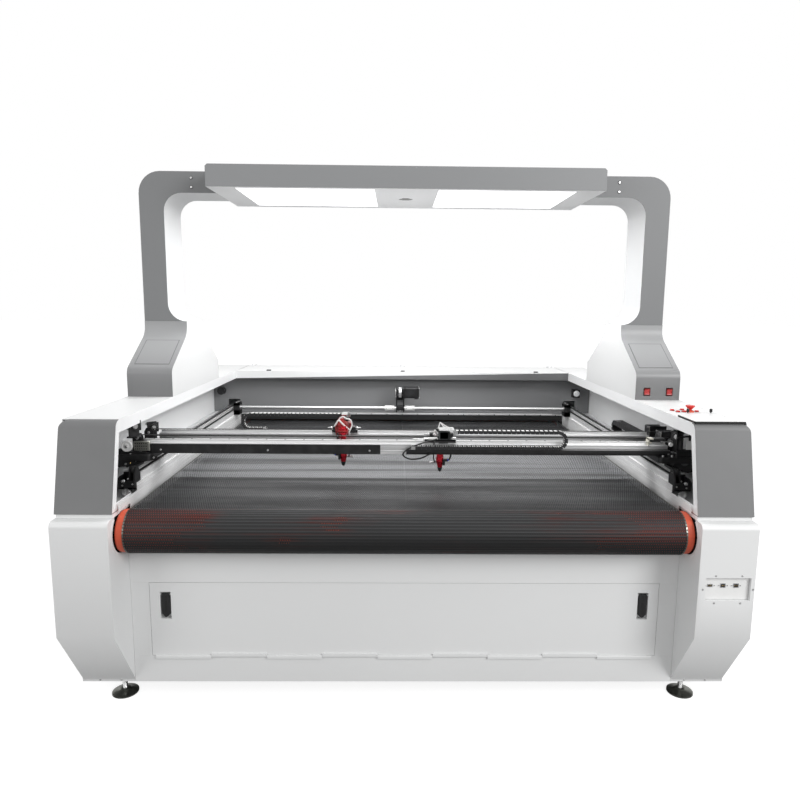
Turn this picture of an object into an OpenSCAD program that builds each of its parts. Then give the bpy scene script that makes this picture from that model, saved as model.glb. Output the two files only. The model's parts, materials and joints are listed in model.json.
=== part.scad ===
// Fabric laser cutting machine with a conveyor bed, two cutting heads and a camera arch.
// Millimetres. X runs across the machine, Y from front to back, Z up.
// The origin is on the floor, under the middle of the machine.

/* [Overall size] */
// Width over the two side housings
overall_width = 2080; // [1700:10:2600]
// Depth from the front faces of the pods to the rear panels
overall_depth = 1880; // [1700:10:2400]
// Height from the floor to the top of the arch
overall_height = 1785; // [1500:5:2300]

/* [Side housings] */
// Width of each side housing
side_width = 170; // [160:2:210]
// Thickness of the painted sheet steel
sheet = 2; // [1.5:0.5:3]
// Height of the underside above the floor
body_bottom = 70; // [55:5:100]
// Height of the riveted strip under each chamfer
strip_height = 12; // [8:1:20]
// Height at which the front of a pod turns into its chamfer
chamfer_top = 293; // [200:5:350]
// Depth of the chamfer, which ends at the front panel
chamfer_depth = 136; // [110:2:160]
// Height of the top of the pods
pod_top = 650; // [640:1:655]
// Radius of the top front edge of the pods
pod_edge_radius = 18; // [5:1:30]
// Height of the underside of the upper housings
housing_bottom = 663; // [660:1:668]
// Height of the deck
deck_z = 934; // [905:1:990]
// Setback of the foot of the grey front covers
cover_foot_setback = 34; // [20:1:60]
// Setback of the top of the grey front covers
cover_top_setback = 96; // [70:1:110]
// Radius of the top edges of the grey front covers
cover_radius = 26; // [10:1:40]
// Width of the rim between a front cover and the inner opening behind it
rim_width = 29; // [20:1:45]
// Height of the lip under the deck
lip_height = 40; // [30:1:50]
// Distance from the outer wall to the white liner
liner_inset = 40; // [30:1:50]
// Height of the shelf inside each side housing
shelf_z = 712; // [700:1:725]

/* [Front panel and door] */
// Height of the top of the front panel
panel_top = 504; // [460:2:515]
// Half width of the front door
door_half = 812; // [600:2:830]
// Height of the bottom edge of the door opening
door_bottom = 160; // [130:2:200]
// Height of the top edge of the door opening
door_top = 408; // [360:2:440]
// Gap round the door
door_gap = 1; // [0.5:0.1:2]
// Depth of the folded edge of the door
door_flange = 14; // [8:1:25]
// Radius of the door hinge pin
door_pin_radius = 1.5; // [1:0.1:2.5]
// Distance from the middle of the machine to each latch
latch_x = 762; // [500:2:780]
// Width of a latch handle
latch_width = 28; // [20:1:40]
// Height of a latch handle
latch_height = 84; // [60:1:110]
// Height of the middle of the latches
latch_z = 331; // [250:1:340]

/* [Conveyor] */
// Radius of the rollers
roller_radius = 65; // [50:1:70]
// Height of the roller axes
roller_z = 594; // [590:1:596]
// Setback of the front roller axis
roller_setback = 95; // [85:1:100]
// Distance from the rear panels to the rear roller axis
rear_roller_inset = 92; // [85:1:130]
// Radius of the roller shafts
roller_shaft_radius = 12.5; // [8:0.5:18]
// Thickness of the mesh belt
belt_thickness = 2.7; // [1.5:0.1:4]
// Space between the belt edges and the housings
belt_margin = 28; // [20:1:60]
// Height of the belt bed
bed_height = 40; // [25:1:60]
// Spacing of the bed slats
slat_pitch = 70; // [50:5:150]

/* [Rear] */
// Depth of the rear deck
rear_deck_depth = 319; // [290:1:400]
// Distance from the edge of the rear deck back to the partition
partition_setback = 45; // [30:1:60]
// Height of the fabric slot over the floor of the tube bay
feed_slot = 45; // [30:1:48]
// Radius of the laser tubes
tube_radius = 38; // [25:1:45]
// Length of the laser tubes
tube_length = 1450; // [900:10:1600]
// Radius of the exhaust collar
exhaust_radius = 75; // [50:1:100]

/* [Arch and light box] */
// Setback of the foot of each pedestal
pedestal_setback = 600; // [450:5:700]
// Depth of each pedestal at the deck
pedestal_depth = 636; // [560:2:700]
// Height of the upright front of each pedestal
pedestal_front = 101; // [80:1:130]
// Height of each pedestal
pedestal_height = 275; // [240:1:300]
// Depth of the arch
arch_depth = 200; // [150:2:240]
// Width of the arch posts
arch_post = 95; // [70:1:130]
// Height of the arch beam
arch_beam = 81; // [60:1:110]
// Outer corner radius of the arch
arch_outer_radius = 85; // [50:1:110]
// Inner corner radius of the arch
arch_inner_radius = 70; // [40:1:90]
// Half width of the light box
light_half = 737; // [600:1:800]
// Depth of the light box
light_depth = 495; // [400:1:560]
// Half width of the camera plate
camera_half = 120; // [90:1:150]

/* [Gantry] */
// Setback of the front gantry beam at rest
gantry_setback = 282; // [276:1:300]
// Distance between the two gantry beams
beam_spacing = 160; // [150:1:180]
// Width of a gantry beam
beam_width = 40; // [36:1:44]
// Height of the underside of the gantry beams
beam_z = 797; // [790:1:805]
// Height of a gantry beam
beam_height = 34; // [28:1:40]
// Width of the linear rails
rail_width = 14; // [10:1:16]
// Height of the linear rails
rail_height = 10; // [8:1:12]
// Travel of the gantry
gantry_travel = 950; // [600:10:1000]
// Place of the left cutting head at rest
left_head_x = -214; // [-400:2:-160]
// Place of the right cutting head at rest
right_head_x = 118; // [100:2:300]
// Height of the left nozzle tip
left_tip_z = 733; // [700:1:745]
// Height of the right nozzle tip
right_tip_z = 714; // [690:1:740]

/* [Y axis] */
// Width of the side beams
side_beam_width = 50; // [46:1:56]
// Height of the side beams
side_beam_height = 45; // [35:1:60]
// Height of the top of the side beams
side_beam_top = 745; // [742:1:748]
// Height of the drive shaft
drive_shaft_z = 752; // [750:1:753]
// Radius of the drive shaft
drive_shaft_radius = 8; // [6:0.5:9]
// Distance from the partition to the drive shaft
drive_shaft_gap = 106; // [90:1:130]
// Pitch radius of the belt pulleys
pulley_radius = 12; // [10:0.5:14]
// Width of the toothed belts
toothed_belt_width = 9; // [6:1:10]
// Thickness of the toothed belts
toothed_belt_thickness = 1.5; // [1:0.1:2]
// Side of the square stepper motors
motor_side = 57; // [42:1:58]

/* [Controls] */
// Setback of the emergency stop
stop_setback = 323; // [280:1:360]
// Radius of the emergency stop head
stop_radius = 15; // [10:1:20]
// Travel of the emergency stop
stop_travel = 4; // [2:0.5:5]
// Radius of the knobs
knob_radius = 5; // [4:0.5:10]
// Width of a rocker switch bezel
rocker_width = 25; // [18:1:30]
// Height of a rocker switch bezel
rocker_height = 31; // [24:1:36]

/* [Fits] */
// Space round moving pieces
running_gap = 0.3; // [0.2:0.05:0.5]
// Radial clearance of shafts in their bores
shaft_fit = 0.05; // [0.02:0.01:0.1]

/* [Hidden] */
$fn = 64;

// Half of the overall width and the inner faces of the side housings
half_w = overall_width / 2;
in_x = half_w - side_width;
liner_x = half_w - liner_inset;

// A distance behind the front faces of the pods, as a Y coordinate
function fy(d) = d - overall_depth / 2;

// Setbacks of the main pieces
rear_deck_edge = overall_depth - rear_deck_depth;
partition = rear_deck_edge + partition_setback;
rear_roller = overall_depth - rear_roller_inset;
drive_shaft_at = partition - drive_shaft_gap;
panel_at = chamfer_depth;

// Square tube of the base frame
tube = 50;
tube_wall = 3;
bearing_x = in_x + 33;
frame_x = bearing_x;
frame_front = roller_setback + 55;
frame_rear = rear_roller - 55;
frame_top = housing_bottom;
foot_x = frame_x + tube / 2;
foot_places = [frame_front + 40, frame_rear - 40];
foot_stem_radius = 8;

// Conveyor
belt_half = in_x - belt_margin;
belt_inner = roller_radius + running_gap;
belt_outer = belt_inner + belt_thickness;
belt_top = roller_z + belt_outer;
roller_half = in_x - 8;
roller_shaft_end = in_x + 65;

// Side beams, rails and the Y belts
side_beam_x = in_x - 5;
rail_x = side_beam_x + 30;
rail_top = side_beam_top + rail_height;
y_belt_x = side_beam_x + 1;
y_pulley_inner = pulley_radius - toothed_belt_thickness / 2 - running_gap;
idler_at = 215;
side_beam_front = 240;
side_beam_rear = partition - 1;

// Gantry
front_beam_at = gantry_setback;
rear_beam_at = gantry_setback + beam_spacing;
head_line = gantry_setback + beam_spacing / 2;
plate_bottom = 777;
beam_top = beam_z + beam_height;
x_rail_top = beam_top + rail_height;
beam_half = in_x - 8;
plate_inner = in_x - 45;
plate_outer = in_x + 80;
plate_front = front_beam_at - 46;
plate_rear = rear_beam_at + 50;
pulley_x = in_x + 22;
x_pulley_z = 836;
front_belt_at = front_beam_at + beam_width / 2 + 4;
rear_belt_at = rear_beam_at - beam_width / 2 - 4 - toothed_belt_width;

// Cable chains: link size, radius of the bend and the three lanes
link_height = 11;
link_width = 22;
chain_radius = 26;
front_lane = front_beam_at - beam_width / 2 - 4 - link_width;
rear_lane = rear_beam_at + beam_width / 2 + 4;
front_chain_z = 850;
rear_chain_z = 864;
front_chain_fixed = 20;
front_chain_bend = 493;
rear_chain_fixed = -500;
rear_chain_bend = -555;
y_link_height = 20;
y_link_width = 40;
y_chain_radius = 22;
y_chain_z = shelf_z + y_link_height / 2 + y_chain_radius + 0.3;
y_chain_x = liner_x - 14 - y_link_width;
y_chain_head = head_line + 10;
y_chain_bend = 1040;
y_chain_fixed = 780;

// Arch and light box
arch_foot_z = deck_z + pedestal_height;
arch_at = pedestal_setback + 198;
arch_x = half_w - 3;
arch_beam_z = overall_height - arch_beam;
light_at = arch_at + arch_depth / 2 - light_depth / 2;

// Rear bay
bay_floor = belt_top + feed_slot + 3;
lid_front = partition + 4;
lid_rear = overall_depth - 16;
lid_axis_at = overall_depth - 8;
lid_pin_radius = 2;
lid_axis_z = deck_z + lid_pin_radius + 2 + running_gap;

// ---------------------------------------------------------------- helpers

// Points on an arc
function arc(c, r, a0, a1, n = 8) =
    [for (k = [0:n]) c + r * [cos(a0 + (a1 - a0) * k / n), sin(a0 + (a1 - a0) * k / n)]];

// Where two lines meet, each given by a point and a direction
function meet(p, u, q, v) = p + u * ((q - p).x * v.y - (q - p).y * v.x) / (u.x * v.y - u.y * v.x);
function unit(v) = v / norm(v);
function left_of(v) = [-v.y, v.x];

// The corner b between a and c, rounded with radius r
function fillet(a, b, c, r) =
    let (
        u = unit(a - b), v = unit(c - b), half = acos(u * v) / 2, m = b + unit(u + v) * r / sin(half),
        p = b + u * r / tan(half) - m, q = b + v * r / tan(half) - m,
        start = atan2(p.y, p.x), turn = (atan2(q.y, q.x) - start + 540) % 360 - 180
    )
    [for (k = [0:6]) m + r * [cos(start + turn * k / 6), sin(start + turn * k / 6)]];

// A closed outline moved inwards by d; its points run anticlockwise
function inset(p, d) = [
    for (k = [0:len(p) - 1])
        let (
            a = p[(k + len(p) - 1) % len(p)], b = p[k], c = p[(k + 1) % len(p)],
            u = unit(b - a), v = unit(c - b), n = b + left_of(u) * d, m = b + left_of(v) * d
        )
        abs(u.x * v.y - u.y * v.x) < 0.0001 ? n : meet(n, u, m, v)
];

// Outlines given as [setback, height] become [y, z]
function placed(p) = [for (q = p) [fy(q.x), q.y]];

// A [setback, height] outline as a bar from x0 to x1
module side_bar(outline, x0, x1) {
    translate([x0, 0, 0]) rotate([90, 0, 90]) linear_extrude(x1 - x0) polygon(placed(outline));
}

// A box by its lowest and highest corners, its Y values as setbacks
module block(x, d, z) {
    translate([x[0], fy(d[0]), z[0]]) cube([x[1] - x[0], d[1] - d[0], z[1] - z[0]]);
}

// Cylinders along X, Y and Z, from one end to the other
module rod_x(r, x, d, z) {
    translate([x[0], fy(d), z]) rotate([0, 90, 0]) cylinder(r = r, h = x[1] - x[0]);
}
module rod_y(r, x, d, z) {
    translate([x, fy(d[0]), z]) rotate([-90, 0, 0]) cylinder(r = r, h = d[1] - d[0]);
}
module rod_z(r, x, d, z) {
    translate([x, fy(d), z[0]]) cylinder(r = r, h = z[1] - z[0]);
}

// The piece and its mirror image on the other side
module both_sides() {
    children();
    mirror([1, 0, 0]) children();
}

// A closed belt round two wheels, as an outline in the plane of the wheels
module loop_2d(a, b, r, t) {
    difference() {
        union() {
            translate([a, 0]) circle(r + t);
            translate([b, 0]) circle(r + t);
            translate([a, -r - t]) square([b - a, 2 * (r + t)]);
        }
        union() {
            translate([a, 0]) circle(r);
            translate([b, 0]) circle(r);
            translate([a, -r]) square([b - a, 2 * r]);
        }
    }
}

// ---------------------------------------------------------------- outlines

pod_outline = concat(
    arc([pod_edge_radius, pod_top - pod_edge_radius], pod_edge_radius, 90, 180),
    [
        [0, chamfer_top],
        [chamfer_depth, body_bottom + strip_height],
        [chamfer_depth, body_bottom],
        [overall_depth, body_bottom],
        [overall_depth, pod_top]
    ]
);

cover_arc_at = cover_top_setback + cover_radius - 4;
cover_outline = concat(
    arc([cover_arc_at, deck_z - cover_radius], cover_radius, 90, 167),
    [
        [cover_foot_setback, housing_bottom],
        [cover_arc_at, housing_bottom]
    ]
);

// Setback of the sloping face of a cover at a height
cover_slope = (cover_outline[8].x - cover_foot_setback) / (cover_outline[8].y - housing_bottom);
function face_at(z) = cover_foot_setback + (z - housing_bottom) * cover_slope;

// Inside of a cover's sheet, kept d away from it and open at the back
function cover_room(d) = [
    for (q = inset(cover_outline, sheet + d)) [q.x > cover_arc_at - 2 * sheet - d ? cover_arc_at + 1 : q.x, q.y]
];

housing_outline = [
    [cover_arc_at + 0.2, deck_z],
    [cover_arc_at + 0.2, housing_bottom],
    [overall_depth, housing_bottom],
    [overall_depth, deck_z]
];

// Front of a pedestal from top to bottom, d in front of it, with its two rounded folds
fold_low = [pedestal_setback, deck_z + pedestal_front];
fold_high = [arch_at, arch_foot_z - 48];
// Radii of the high and the low fold
fold_radii = [60, 34];
fold_normal = left_of(unit(fold_high - fold_low));
function pedestal_face(d) =
    let (
        top = [arch_at - d, arch_foot_z], foot = [pedestal_setback - d, deck_z],
        slope = unit(fold_high - fold_low), on = fold_low + fold_normal * d,
        high = meet(top, [0, 1], on, slope), low = meet(foot, [0, 1], on, slope)
    )
    concat([top], fillet(top, high, low, fold_radii[0] - d), fillet(high, low, foot, fold_radii[1] + d), [foot]);

pedestal_outline = concat(
    pedestal_face(0),
    [
        [pedestal_setback + pedestal_depth, deck_z],
        [pedestal_setback + pedestal_depth, deck_z + 0.31 * pedestal_height],
        [arch_at + arch_depth, arch_foot_z - 34],
        [arch_at + arch_depth, arch_foot_z]
    ]
);

// ---------------------------------------------------------------- frame and skins

module tube_x(x, d, z) {
    difference() {
        block(x, [d, d + tube], [z, z + tube]);
        block([x[0] - 1, x[1] + 1], [d + tube_wall, d + tube - tube_wall], [z + tube_wall, z + tube - tube_wall]);
    }
}

module tube_y(x, d, z) {
    difference() {
        block([x, x + tube], d, [z, z + tube]);
        block([x + tube_wall, x + tube - tube_wall], [d[0] - 1, d[1] + 1], [z + tube_wall, z + tube - tube_wall]);
    }
}

module tube_z(x, d, z) {
    difference() {
        block([x, x + tube], [d, d + tube], z);
        block([x + tube_wall, x + tube - tube_wall], [d + tube_wall, d + tube - tube_wall], [z[0] - 1, z[1] + 1]);
    }
}

// Plate that carries a roller bearing, from one setback to the other
module bearing_plate(roller, d) {
    difference() {
        block([bearing_x - 8, bearing_x], d, [roller_z - 60, roller_z + 45]);
        rod_x(roller_shaft_radius + 8, [bearing_x - 9, bearing_x + 1], roller, roller_z);
    }
}

module base_frame() {
    low = body_bottom + sheet;
    post_z = [low + tube, frame_top - tube];
    middle = (frame_front + frame_rear - tube) / 2;
    color("dimgray") {
        both_sides() {
            difference() {
                tube_y(frame_x, [frame_front, frame_rear], low);
                for (d = foot_places) rod_z(foot_stem_radius + shaft_fit, foot_x, d, [low - 1, low + 30]);
            }
            tube_y(frame_x, [frame_front, frame_rear], frame_top - tube);
            for (d = [frame_front, middle, frame_rear - tube]) tube_z(frame_x, d, post_z);
            for (d = [frame_front + 5, frame_rear - 45]) {
                block([frame_x + tube, half_w - sheet], [d, d + 40], [low, low + 6]);
                block([frame_x + tube, half_w - sheet], [d, d + 40], [frame_top - 60, frame_top - 54]);
            }
            bearing_plate(roller_setback, [roller_setback - 45, frame_front + tube]);
            bearing_plate(rear_roller, [frame_rear - tube, rear_roller + 45]);
        }
        for (d = [frame_front, middle, frame_rear - tube]) tube_x([-frame_x, frame_x], d, low);
        tube_x([-frame_x, frame_x], frame_rear - tube, low + 380);
    }
}

// Lower side housing on the right: skins, inner cheeks round the roller and a top flange
module pod_shell() {
    inner = inset(pod_outline, sheet);
    difference() {
        side_bar(pod_outline, in_x, half_w);
        difference() {
            side_bar(inner, in_x + sheet, half_w - sheet);
            block([in_x, half_w], [0, 40], [pod_top - sheet, pod_top]);
        }
        // the inner cheek reaches only a little behind the front panel and in front of the back
        block([in_x - 1, in_x + sheet + 1], [frame_front - 8, rear_roller - 30],
              [body_bottom + sheet, pod_top + 1]);
        // the middle of the top is open for the frame
        block([in_x - 1, half_w - 40], [roller_setback - 40, overall_depth - sheet],
              [pod_top - sheet - 1, pod_top + 1]);
        // round the rollers, and over them as far as their axes
        block([in_x - 1, in_x + sheet + 1], [roller_setback, rear_roller], [roller_z, pod_top + 1]);
        for (d = [roller_setback, rear_roller])
            rod_x(belt_outer + 3, [in_x - 1, in_x + sheet + 1], d, roller_z);
        for (d = foot_places) rod_z(foot_stem_radius + 1, foot_x, d, [body_bottom - 1, body_bottom + sheet + 1]);
    }
}

module pod_left() {
    color("gainsboro") mirror([1, 0, 0]) pod_shell();
}

// Recess for the sockets in the front of the right pod
socket_x = [in_x + 22, half_w - 12];
socket_z = [415, 486];
socket_depth = 12;
socket_back = 26;
// Place, half width and half height of the three sockets
sockets = [[in_x + 39, 6.2, 2.6], [in_x + 78.5, 6, 4.6], [in_x + 118, 6.2, 4.8]];
socket_row_z = 459;
// Places of the sunk screws round the recess, as [x, z]
socket_screws = [
    [in_x + 51, socket_z[0] - 8], [in_x + 130, socket_z[0] - 8],
    [in_x + 51, socket_z[1] + 7], [in_x + 130, socket_z[1] + 7],
    [in_x + 14, (socket_z[0] + socket_z[1]) / 2], [half_w - 5, (socket_z[0] + socket_z[1]) / 2]
];

// A block round a socket, larger than its mouth by the given rim
module socket_block(k, d, rim) {
    z = socket_row_z;
    block([k[0] - k[1] - rim, k[0] + k[1] + rim], d, [z - k[2] - rim, z + k[2] + rim]);
}

module pod_right() {
    color("gainsboro") difference() {
        union() {
            pod_shell();
            block([socket_x[0] - sheet, socket_x[1] + sheet], [sheet / 2, socket_depth + sheet],
                  [socket_z[0] - sheet, socket_z[1] + sheet]);
        }
        block(socket_x, [-1, socket_depth], socket_z);
        for (k = sockets) socket_block(k, [socket_depth - 1, socket_depth + sheet + 1], 2.3);
        for (k = socket_screws) rod_y(3, k.x, [-1, 1.2], k.y);
    }
}

seam_width = 1.4;

module front_panel() {
    color("whitesmoke") {
        difference() {
            block([-in_x + 0.5, in_x - 0.5], [panel_at, panel_at + sheet], [body_bottom, panel_top]);
            block([-door_half, door_half], [panel_at - 1, panel_at + sheet + 1], [door_bottom, door_top]);
            // seams that carry on from the door to the pods
            both_sides() for (z = [door_bottom, door_top]) block([door_half + 3, in_x],
                [panel_at - 1, panel_at + sheet / 3], [z - seam_width / 2, z + seam_width / 2]);
        }
        // folded edges along the top, the bottom and both ends
        block([-in_x + 0.5, in_x - 0.5], [panel_at, frame_front], [panel_top - sheet, panel_top]);
        block([-in_x + 0.5, in_x - 0.5], [panel_at, frame_front], [body_bottom, body_bottom + sheet]);
        both_sides() {
            block([in_x - 0.5 - sheet, in_x - 0.5], [panel_at, frame_front], [body_bottom, panel_top]);
            block([in_x - 0.5 - sheet, in_x - 0.5], [panel_at, frame_front + 20], [300, 330]);
            block([in_x - 0.5 - sheet, frame_x], [frame_front + 5, frame_front + 20], [300, 300 + sheet]);
        }
        // fixed knuckles of the door hinge and their pin
        for (x = hinge_knuckles) if (!x[2]) {
            door_knuckle([x[0], x[1]], door_bottom - 1.5, -1);
        }
        rod_x(door_pin_radius, [-door_half + 12, door_half - 12], door_axis_at, door_axis_z);
    }
}

// The door hinge: its axis lies just in front of the panel, level with the door's lower edge
door_axis_at = panel_at - 3;
door_axis_z = door_bottom;
knuckle_radius = door_pin_radius + 1.3;
knuckle_count = 9;
knuckle_length = (2 * door_half - 24) / knuckle_count;
hinge_knuckles = [
    for (k = [0:knuckle_count - 1])
        let (x = -door_half + 12 + k * knuckle_length)
        [x + 0.5, x + knuckle_length - 0.5, k % 2 == 1]
];

// A hinge knuckle with its leaf, above the axis for the door and below it for the panel
module door_knuckle(x, leaf_z, way) {
    difference() {
        union() {
            rod_x(knuckle_radius, x, door_axis_at, door_axis_z);
            if (way > 0) block(x, [door_axis_at - knuckle_radius, panel_at], [door_axis_z, door_axis_z + 8]);
            if (way < 0) block(x, [door_axis_at - knuckle_radius, panel_at], [door_axis_z - 8, door_axis_z]);
        }
        if (way > 0) rod_x(door_pin_radius + shaft_fit, [x[0] - 1, x[1] + 1], door_axis_at, door_axis_z);
    }
}

latch_pocket_depth = 16;
latch_pin_radius = 2;
latch_pin_z = latch_z + latch_height / 2 - 6;
latch_pin_at = panel_at + 4;

module latch_pocket(x) {
    w = latch_width / 2 + 3;
    z = [latch_z - latch_height / 2 - 3, latch_z + latch_height / 2 + 3];
    difference() {
        block([x - w - sheet, x + w + sheet], [panel_at, panel_at + latch_pocket_depth + sheet],
              [z[0] - sheet, z[1] + sheet]);
        block([x - w, x + w], [panel_at - 1, panel_at + latch_pocket_depth], z);
    }
    rod_x(latch_pin_radius, [x - w - 1, x + w + 1], latch_pin_at, latch_pin_z);
}

module front_door() {
    x = door_half - door_gap;
    z = [door_bottom + door_gap, door_top - door_gap];
    color("whitesmoke") {
        difference() {
            block([-x, x], [panel_at, panel_at + door_flange], z);
            block([-x + sheet, x - sheet], [panel_at + sheet, panel_at + door_flange + 1],
                  [z[0] + sheet, z[1] - sheet]);
            for (side = [-1, 1])
                block([side * latch_x - latch_width / 2 - 3, side * latch_x + latch_width / 2 + 3],
                      [panel_at - 1, panel_at + sheet + 1],
                      [latch_z - latch_height / 2 - 3, latch_z + latch_height / 2 + 3]);
        }
        for (side = [-1, 1]) latch_pocket(side * latch_x);
        for (k = hinge_knuckles) if (k[2]) door_knuckle([k[0], k[1]], z[0], 1);
    }
}

// Latch handle with its pointed lower end, hung on the pin of its pocket
module latch_handle(x) {
    w = latch_width / 2;
    top = latch_z + latch_height / 2 - 1;
    bottom = latch_z - latch_height / 2 + 1;
    outline = [[-w, top], [-w, bottom + w * 0.55], [0, bottom], [w, bottom + w * 0.55], [w, top]];
    color("black") difference() {
        translate([x, fy(panel_at + 8), 0]) rotate([90, 0, 0]) linear_extrude(8) polygon(outline);
        rod_x(latch_pin_radius + shaft_fit, [x - w - 1, x + w + 1], latch_pin_at, latch_pin_z);
    }
}

module left_latch() {
    latch_handle(-latch_x);
}

module right_latch() {
    latch_handle(latch_x);
}

// Upper side housing on the right: outer wall, deck, lip, post, liner, shelf and floor
// Height of the sill under the inner openings, near the front
sill_z = housing_bottom + 25;
// Skirt that closes the gap between a housing and the pod under it
skirt = [cover_foot_setback + 4, idler_at - 35];
skirt_z = [pod_top + 0.3, housing_bottom - 0.3];

// A rectangle in the plane of the outlines
module area(d, z) {
    translate([fy(d[0]), z[0]]) square([d[1] - d[0], z[1] - z[0]]);
}

// Inner cheek of a housing: rim behind the front cover, lip, sill, skirt, and the stretch behind the partition
module cheek_2d(rear) {
    lip = deck_z - lip_height;
    difference() {
        polygon(placed(cover_room(0.3)));
        polygon(placed([
            [face_at(sill_z) + rim_width, sill_z], [rear + 2, sill_z],
            [rear + 2, lip], [face_at(lip) + rim_width, lip]
        ]));
    }
    area([rear, rear_deck_edge + 20], [lip, deck_z]);
    area([rear, skirt[1]], [skirt_z[0], sill_z]);
    area([skirt[0], rear + 1], skirt_z);
    area([partition, overall_depth - sheet], [housing_bottom, shelf_z]);
}

module housing_shell() {
    rear = [cover_arc_at + 0.2, overall_depth];
    side_bar(housing_outline, half_w - sheet, half_w);
    translate([in_x, 0, 0]) rotate([90, 0, 90]) linear_extrude(sheet) cheek_2d(rear[0]);
    block([in_x + 1, half_w - 1], rear, [deck_z - sheet, deck_z]);
    block([in_x + 1, half_w - 1], rear, [housing_bottom, housing_bottom + sheet]);
    block([in_x + 1, half_w - 4], [skirt[0], skirt[0] + sheet], skirt_z);
    block([half_w - 4 - sheet, half_w - 4], [skirt[0] + 1, rear[0] + 1], skirt_z);
    block([half_w - 4 - sheet, half_w - 4], [rear[0], skirt[1]], [skirt_z[0], housing_bottom + 1]);
    block([liner_x, liner_x + sheet], [rear[0], partition], [shelf_z - sheet, deck_z]);
    block([side_beam_x + side_beam_width + 6, liner_x + sheet], [idler_at + 40, partition + 100],
          [shelf_z - sheet, shelf_z]);
    for (d = [idler_at + 60, (idler_at + partition) / 2, partition - 60])
        block([liner_x - 20, liner_x], [d, d + sheet], [housing_bottom, shelf_z]);
    block([liner_x, half_w - 1], [partition - sheet, partition], [housing_bottom + 1, deck_z - 1]);
    block([in_x, half_w], [overall_depth - sheet, overall_depth], [housing_bottom, deck_z]);
}

module housing_left() {
    color("gainsboro") mirror([1, 0, 0]) housing_shell();
}

module housing_right() {
    color("gainsboro") housing_shell();
}

// Front outline of a cover from an inner end, with its round outer corner, cut back by d
module cover_front_2d(d, inner_x) {
    x = half_w - d;
    r = cover_radius - d;
    polygon(concat(
        [[inner_x, housing_bottom - 1], [x, housing_bottom - 1]],
        arc([x - r, deck_z - d - r], r, 0, 90),
        [[inner_x, deck_z - d]]
    ));
}

module cover_front(setback, d, inner_x) {
    translate([0, fy(setback), 0]) rotate([90, 0, 0]) linear_extrude(overall_depth) cover_front_2d(d, inner_x);
}

module front_cover() {
    difference() {
        intersection() {
            side_bar(cover_outline, in_x, half_w);
            cover_front(cover_arc_at, 0, in_x);
        }
        intersection() {
            side_bar(cover_room(0), in_x - 1, half_w - sheet);
            cover_front(cover_arc_at + 2, sheet, in_x - 1);
        }
    }
}

// Plate over the service hatch in the slope of a pedestal
hatch_x = [in_x + 20, arch_x - 22];
hatch_span = [0.14, 0.78];
hatch_thickness = 1.2;

module pedestal_cover() {
    near = pedestal_face(0.2);
    far = pedestal_face(0.2 + sheet);
    side_bar(concat([for (k = [len(near) - 1:-1:0]) near[k]], far), in_x, arch_x);
    rise = [for (share = hatch_span) fold_low + (fold_high - fold_low) * share + fold_normal * (0.1 + sheet)];
    out = fold_normal * (hatch_thickness + 0.1);
    side_bar([rise[0], rise[1], rise[1] + out, rise[0] + out], hatch_x[0], hatch_x[1]);
}

module grey_covers() {
    color("gray") {
        both_sides() front_cover();
        mirror([1, 0, 0]) pedestal_cover();
        difference() {
            pedestal_cover();
            for (x = rocker_places) block([x - rocker_width / 2, x + rocker_width / 2],
                [pedestal_setback - 5, pedestal_setback + 5],
                [rocker_z - rocker_height / 2, rocker_z + rocker_height / 2]);
        }
    }
}

module pedestals() {
    inner = inset(pedestal_outline, sheet);
    color("whitesmoke") {
        difference() {
            both_sides() difference() {
                side_bar(pedestal_outline, in_x, arch_x);
                side_bar(inner, in_x + sheet, arch_x - sheet);
                // open underneath, over the deck
                block([in_x + 20, arch_x - 20], [pedestal_setback + 20, pedestal_setback + pedestal_depth - 20],
                      [deck_z - 1, deck_z + sheet + 1]);
            }
            for (x = rocker_places) block([x - rocker_width / 2 - 1, x + rocker_width / 2 + 1],
                [pedestal_setback - 5, pedestal_setback + 5],
                [rocker_z - rocker_height / 2 - 1, rocker_z + rocker_height / 2 + 1]);
        }
    }
}

// ---------------------------------------------------------------- arch and light box

// Front outline of the arch: round outer corners, round inner corners and flared feet
module arch_2d(d) {
    x = arch_x - d;
    inner = arch_x - arch_post;
    r = arch_outer_radius - d;
    q = arch_inner_radius;
    flare = inner - in_x;
    top = overall_height - d;
    foot = arch_foot_z;
    tip = d > 0 ? -asin(flare / (flare + d)) : -90;
    right = concat([[x, foot]], arc([x - r, top - r], r, 0, 90));
    opening = concat(
        arc([inner - q, arch_beam_z - q], q + d, 90, 0),
        arc([inner - flare, foot + flare], flare + d, 0, tip)
    );
    polygon(concat(
        right,
        [for (k = [len(right) - 1:-1:0]) [-right[k].x, right[k].y]],
        [for (k = [len(opening) - 1:-1:0]) [-opening[k].x, opening[k].y]],
        opening
    ));
}

module arch() {
    color("gray") difference() {
        translate([0, fy(arch_at + arch_depth), 0]) rotate([90, 0, 0]) linear_extrude(arch_depth) arch_2d(0);
        translate([0, fy(arch_at + arch_depth - sheet), 0]) rotate([90, 0, 0])
            linear_extrude(arch_depth - 2 * sheet) arch_2d(sheet);
        // the two arms end at the light box
        block([-light_half, light_half], [arch_at - 1, arch_at + arch_depth + 1],
              [arch_beam_z - 1, overall_height + 1]);
    }
}

light_margin = 26;
light_lip = 100;
panel_x = [camera_half, light_half - light_lip];
panel_d = [light_at + light_margin, light_at + light_depth - light_margin];
lens_radius = 14;

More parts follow.
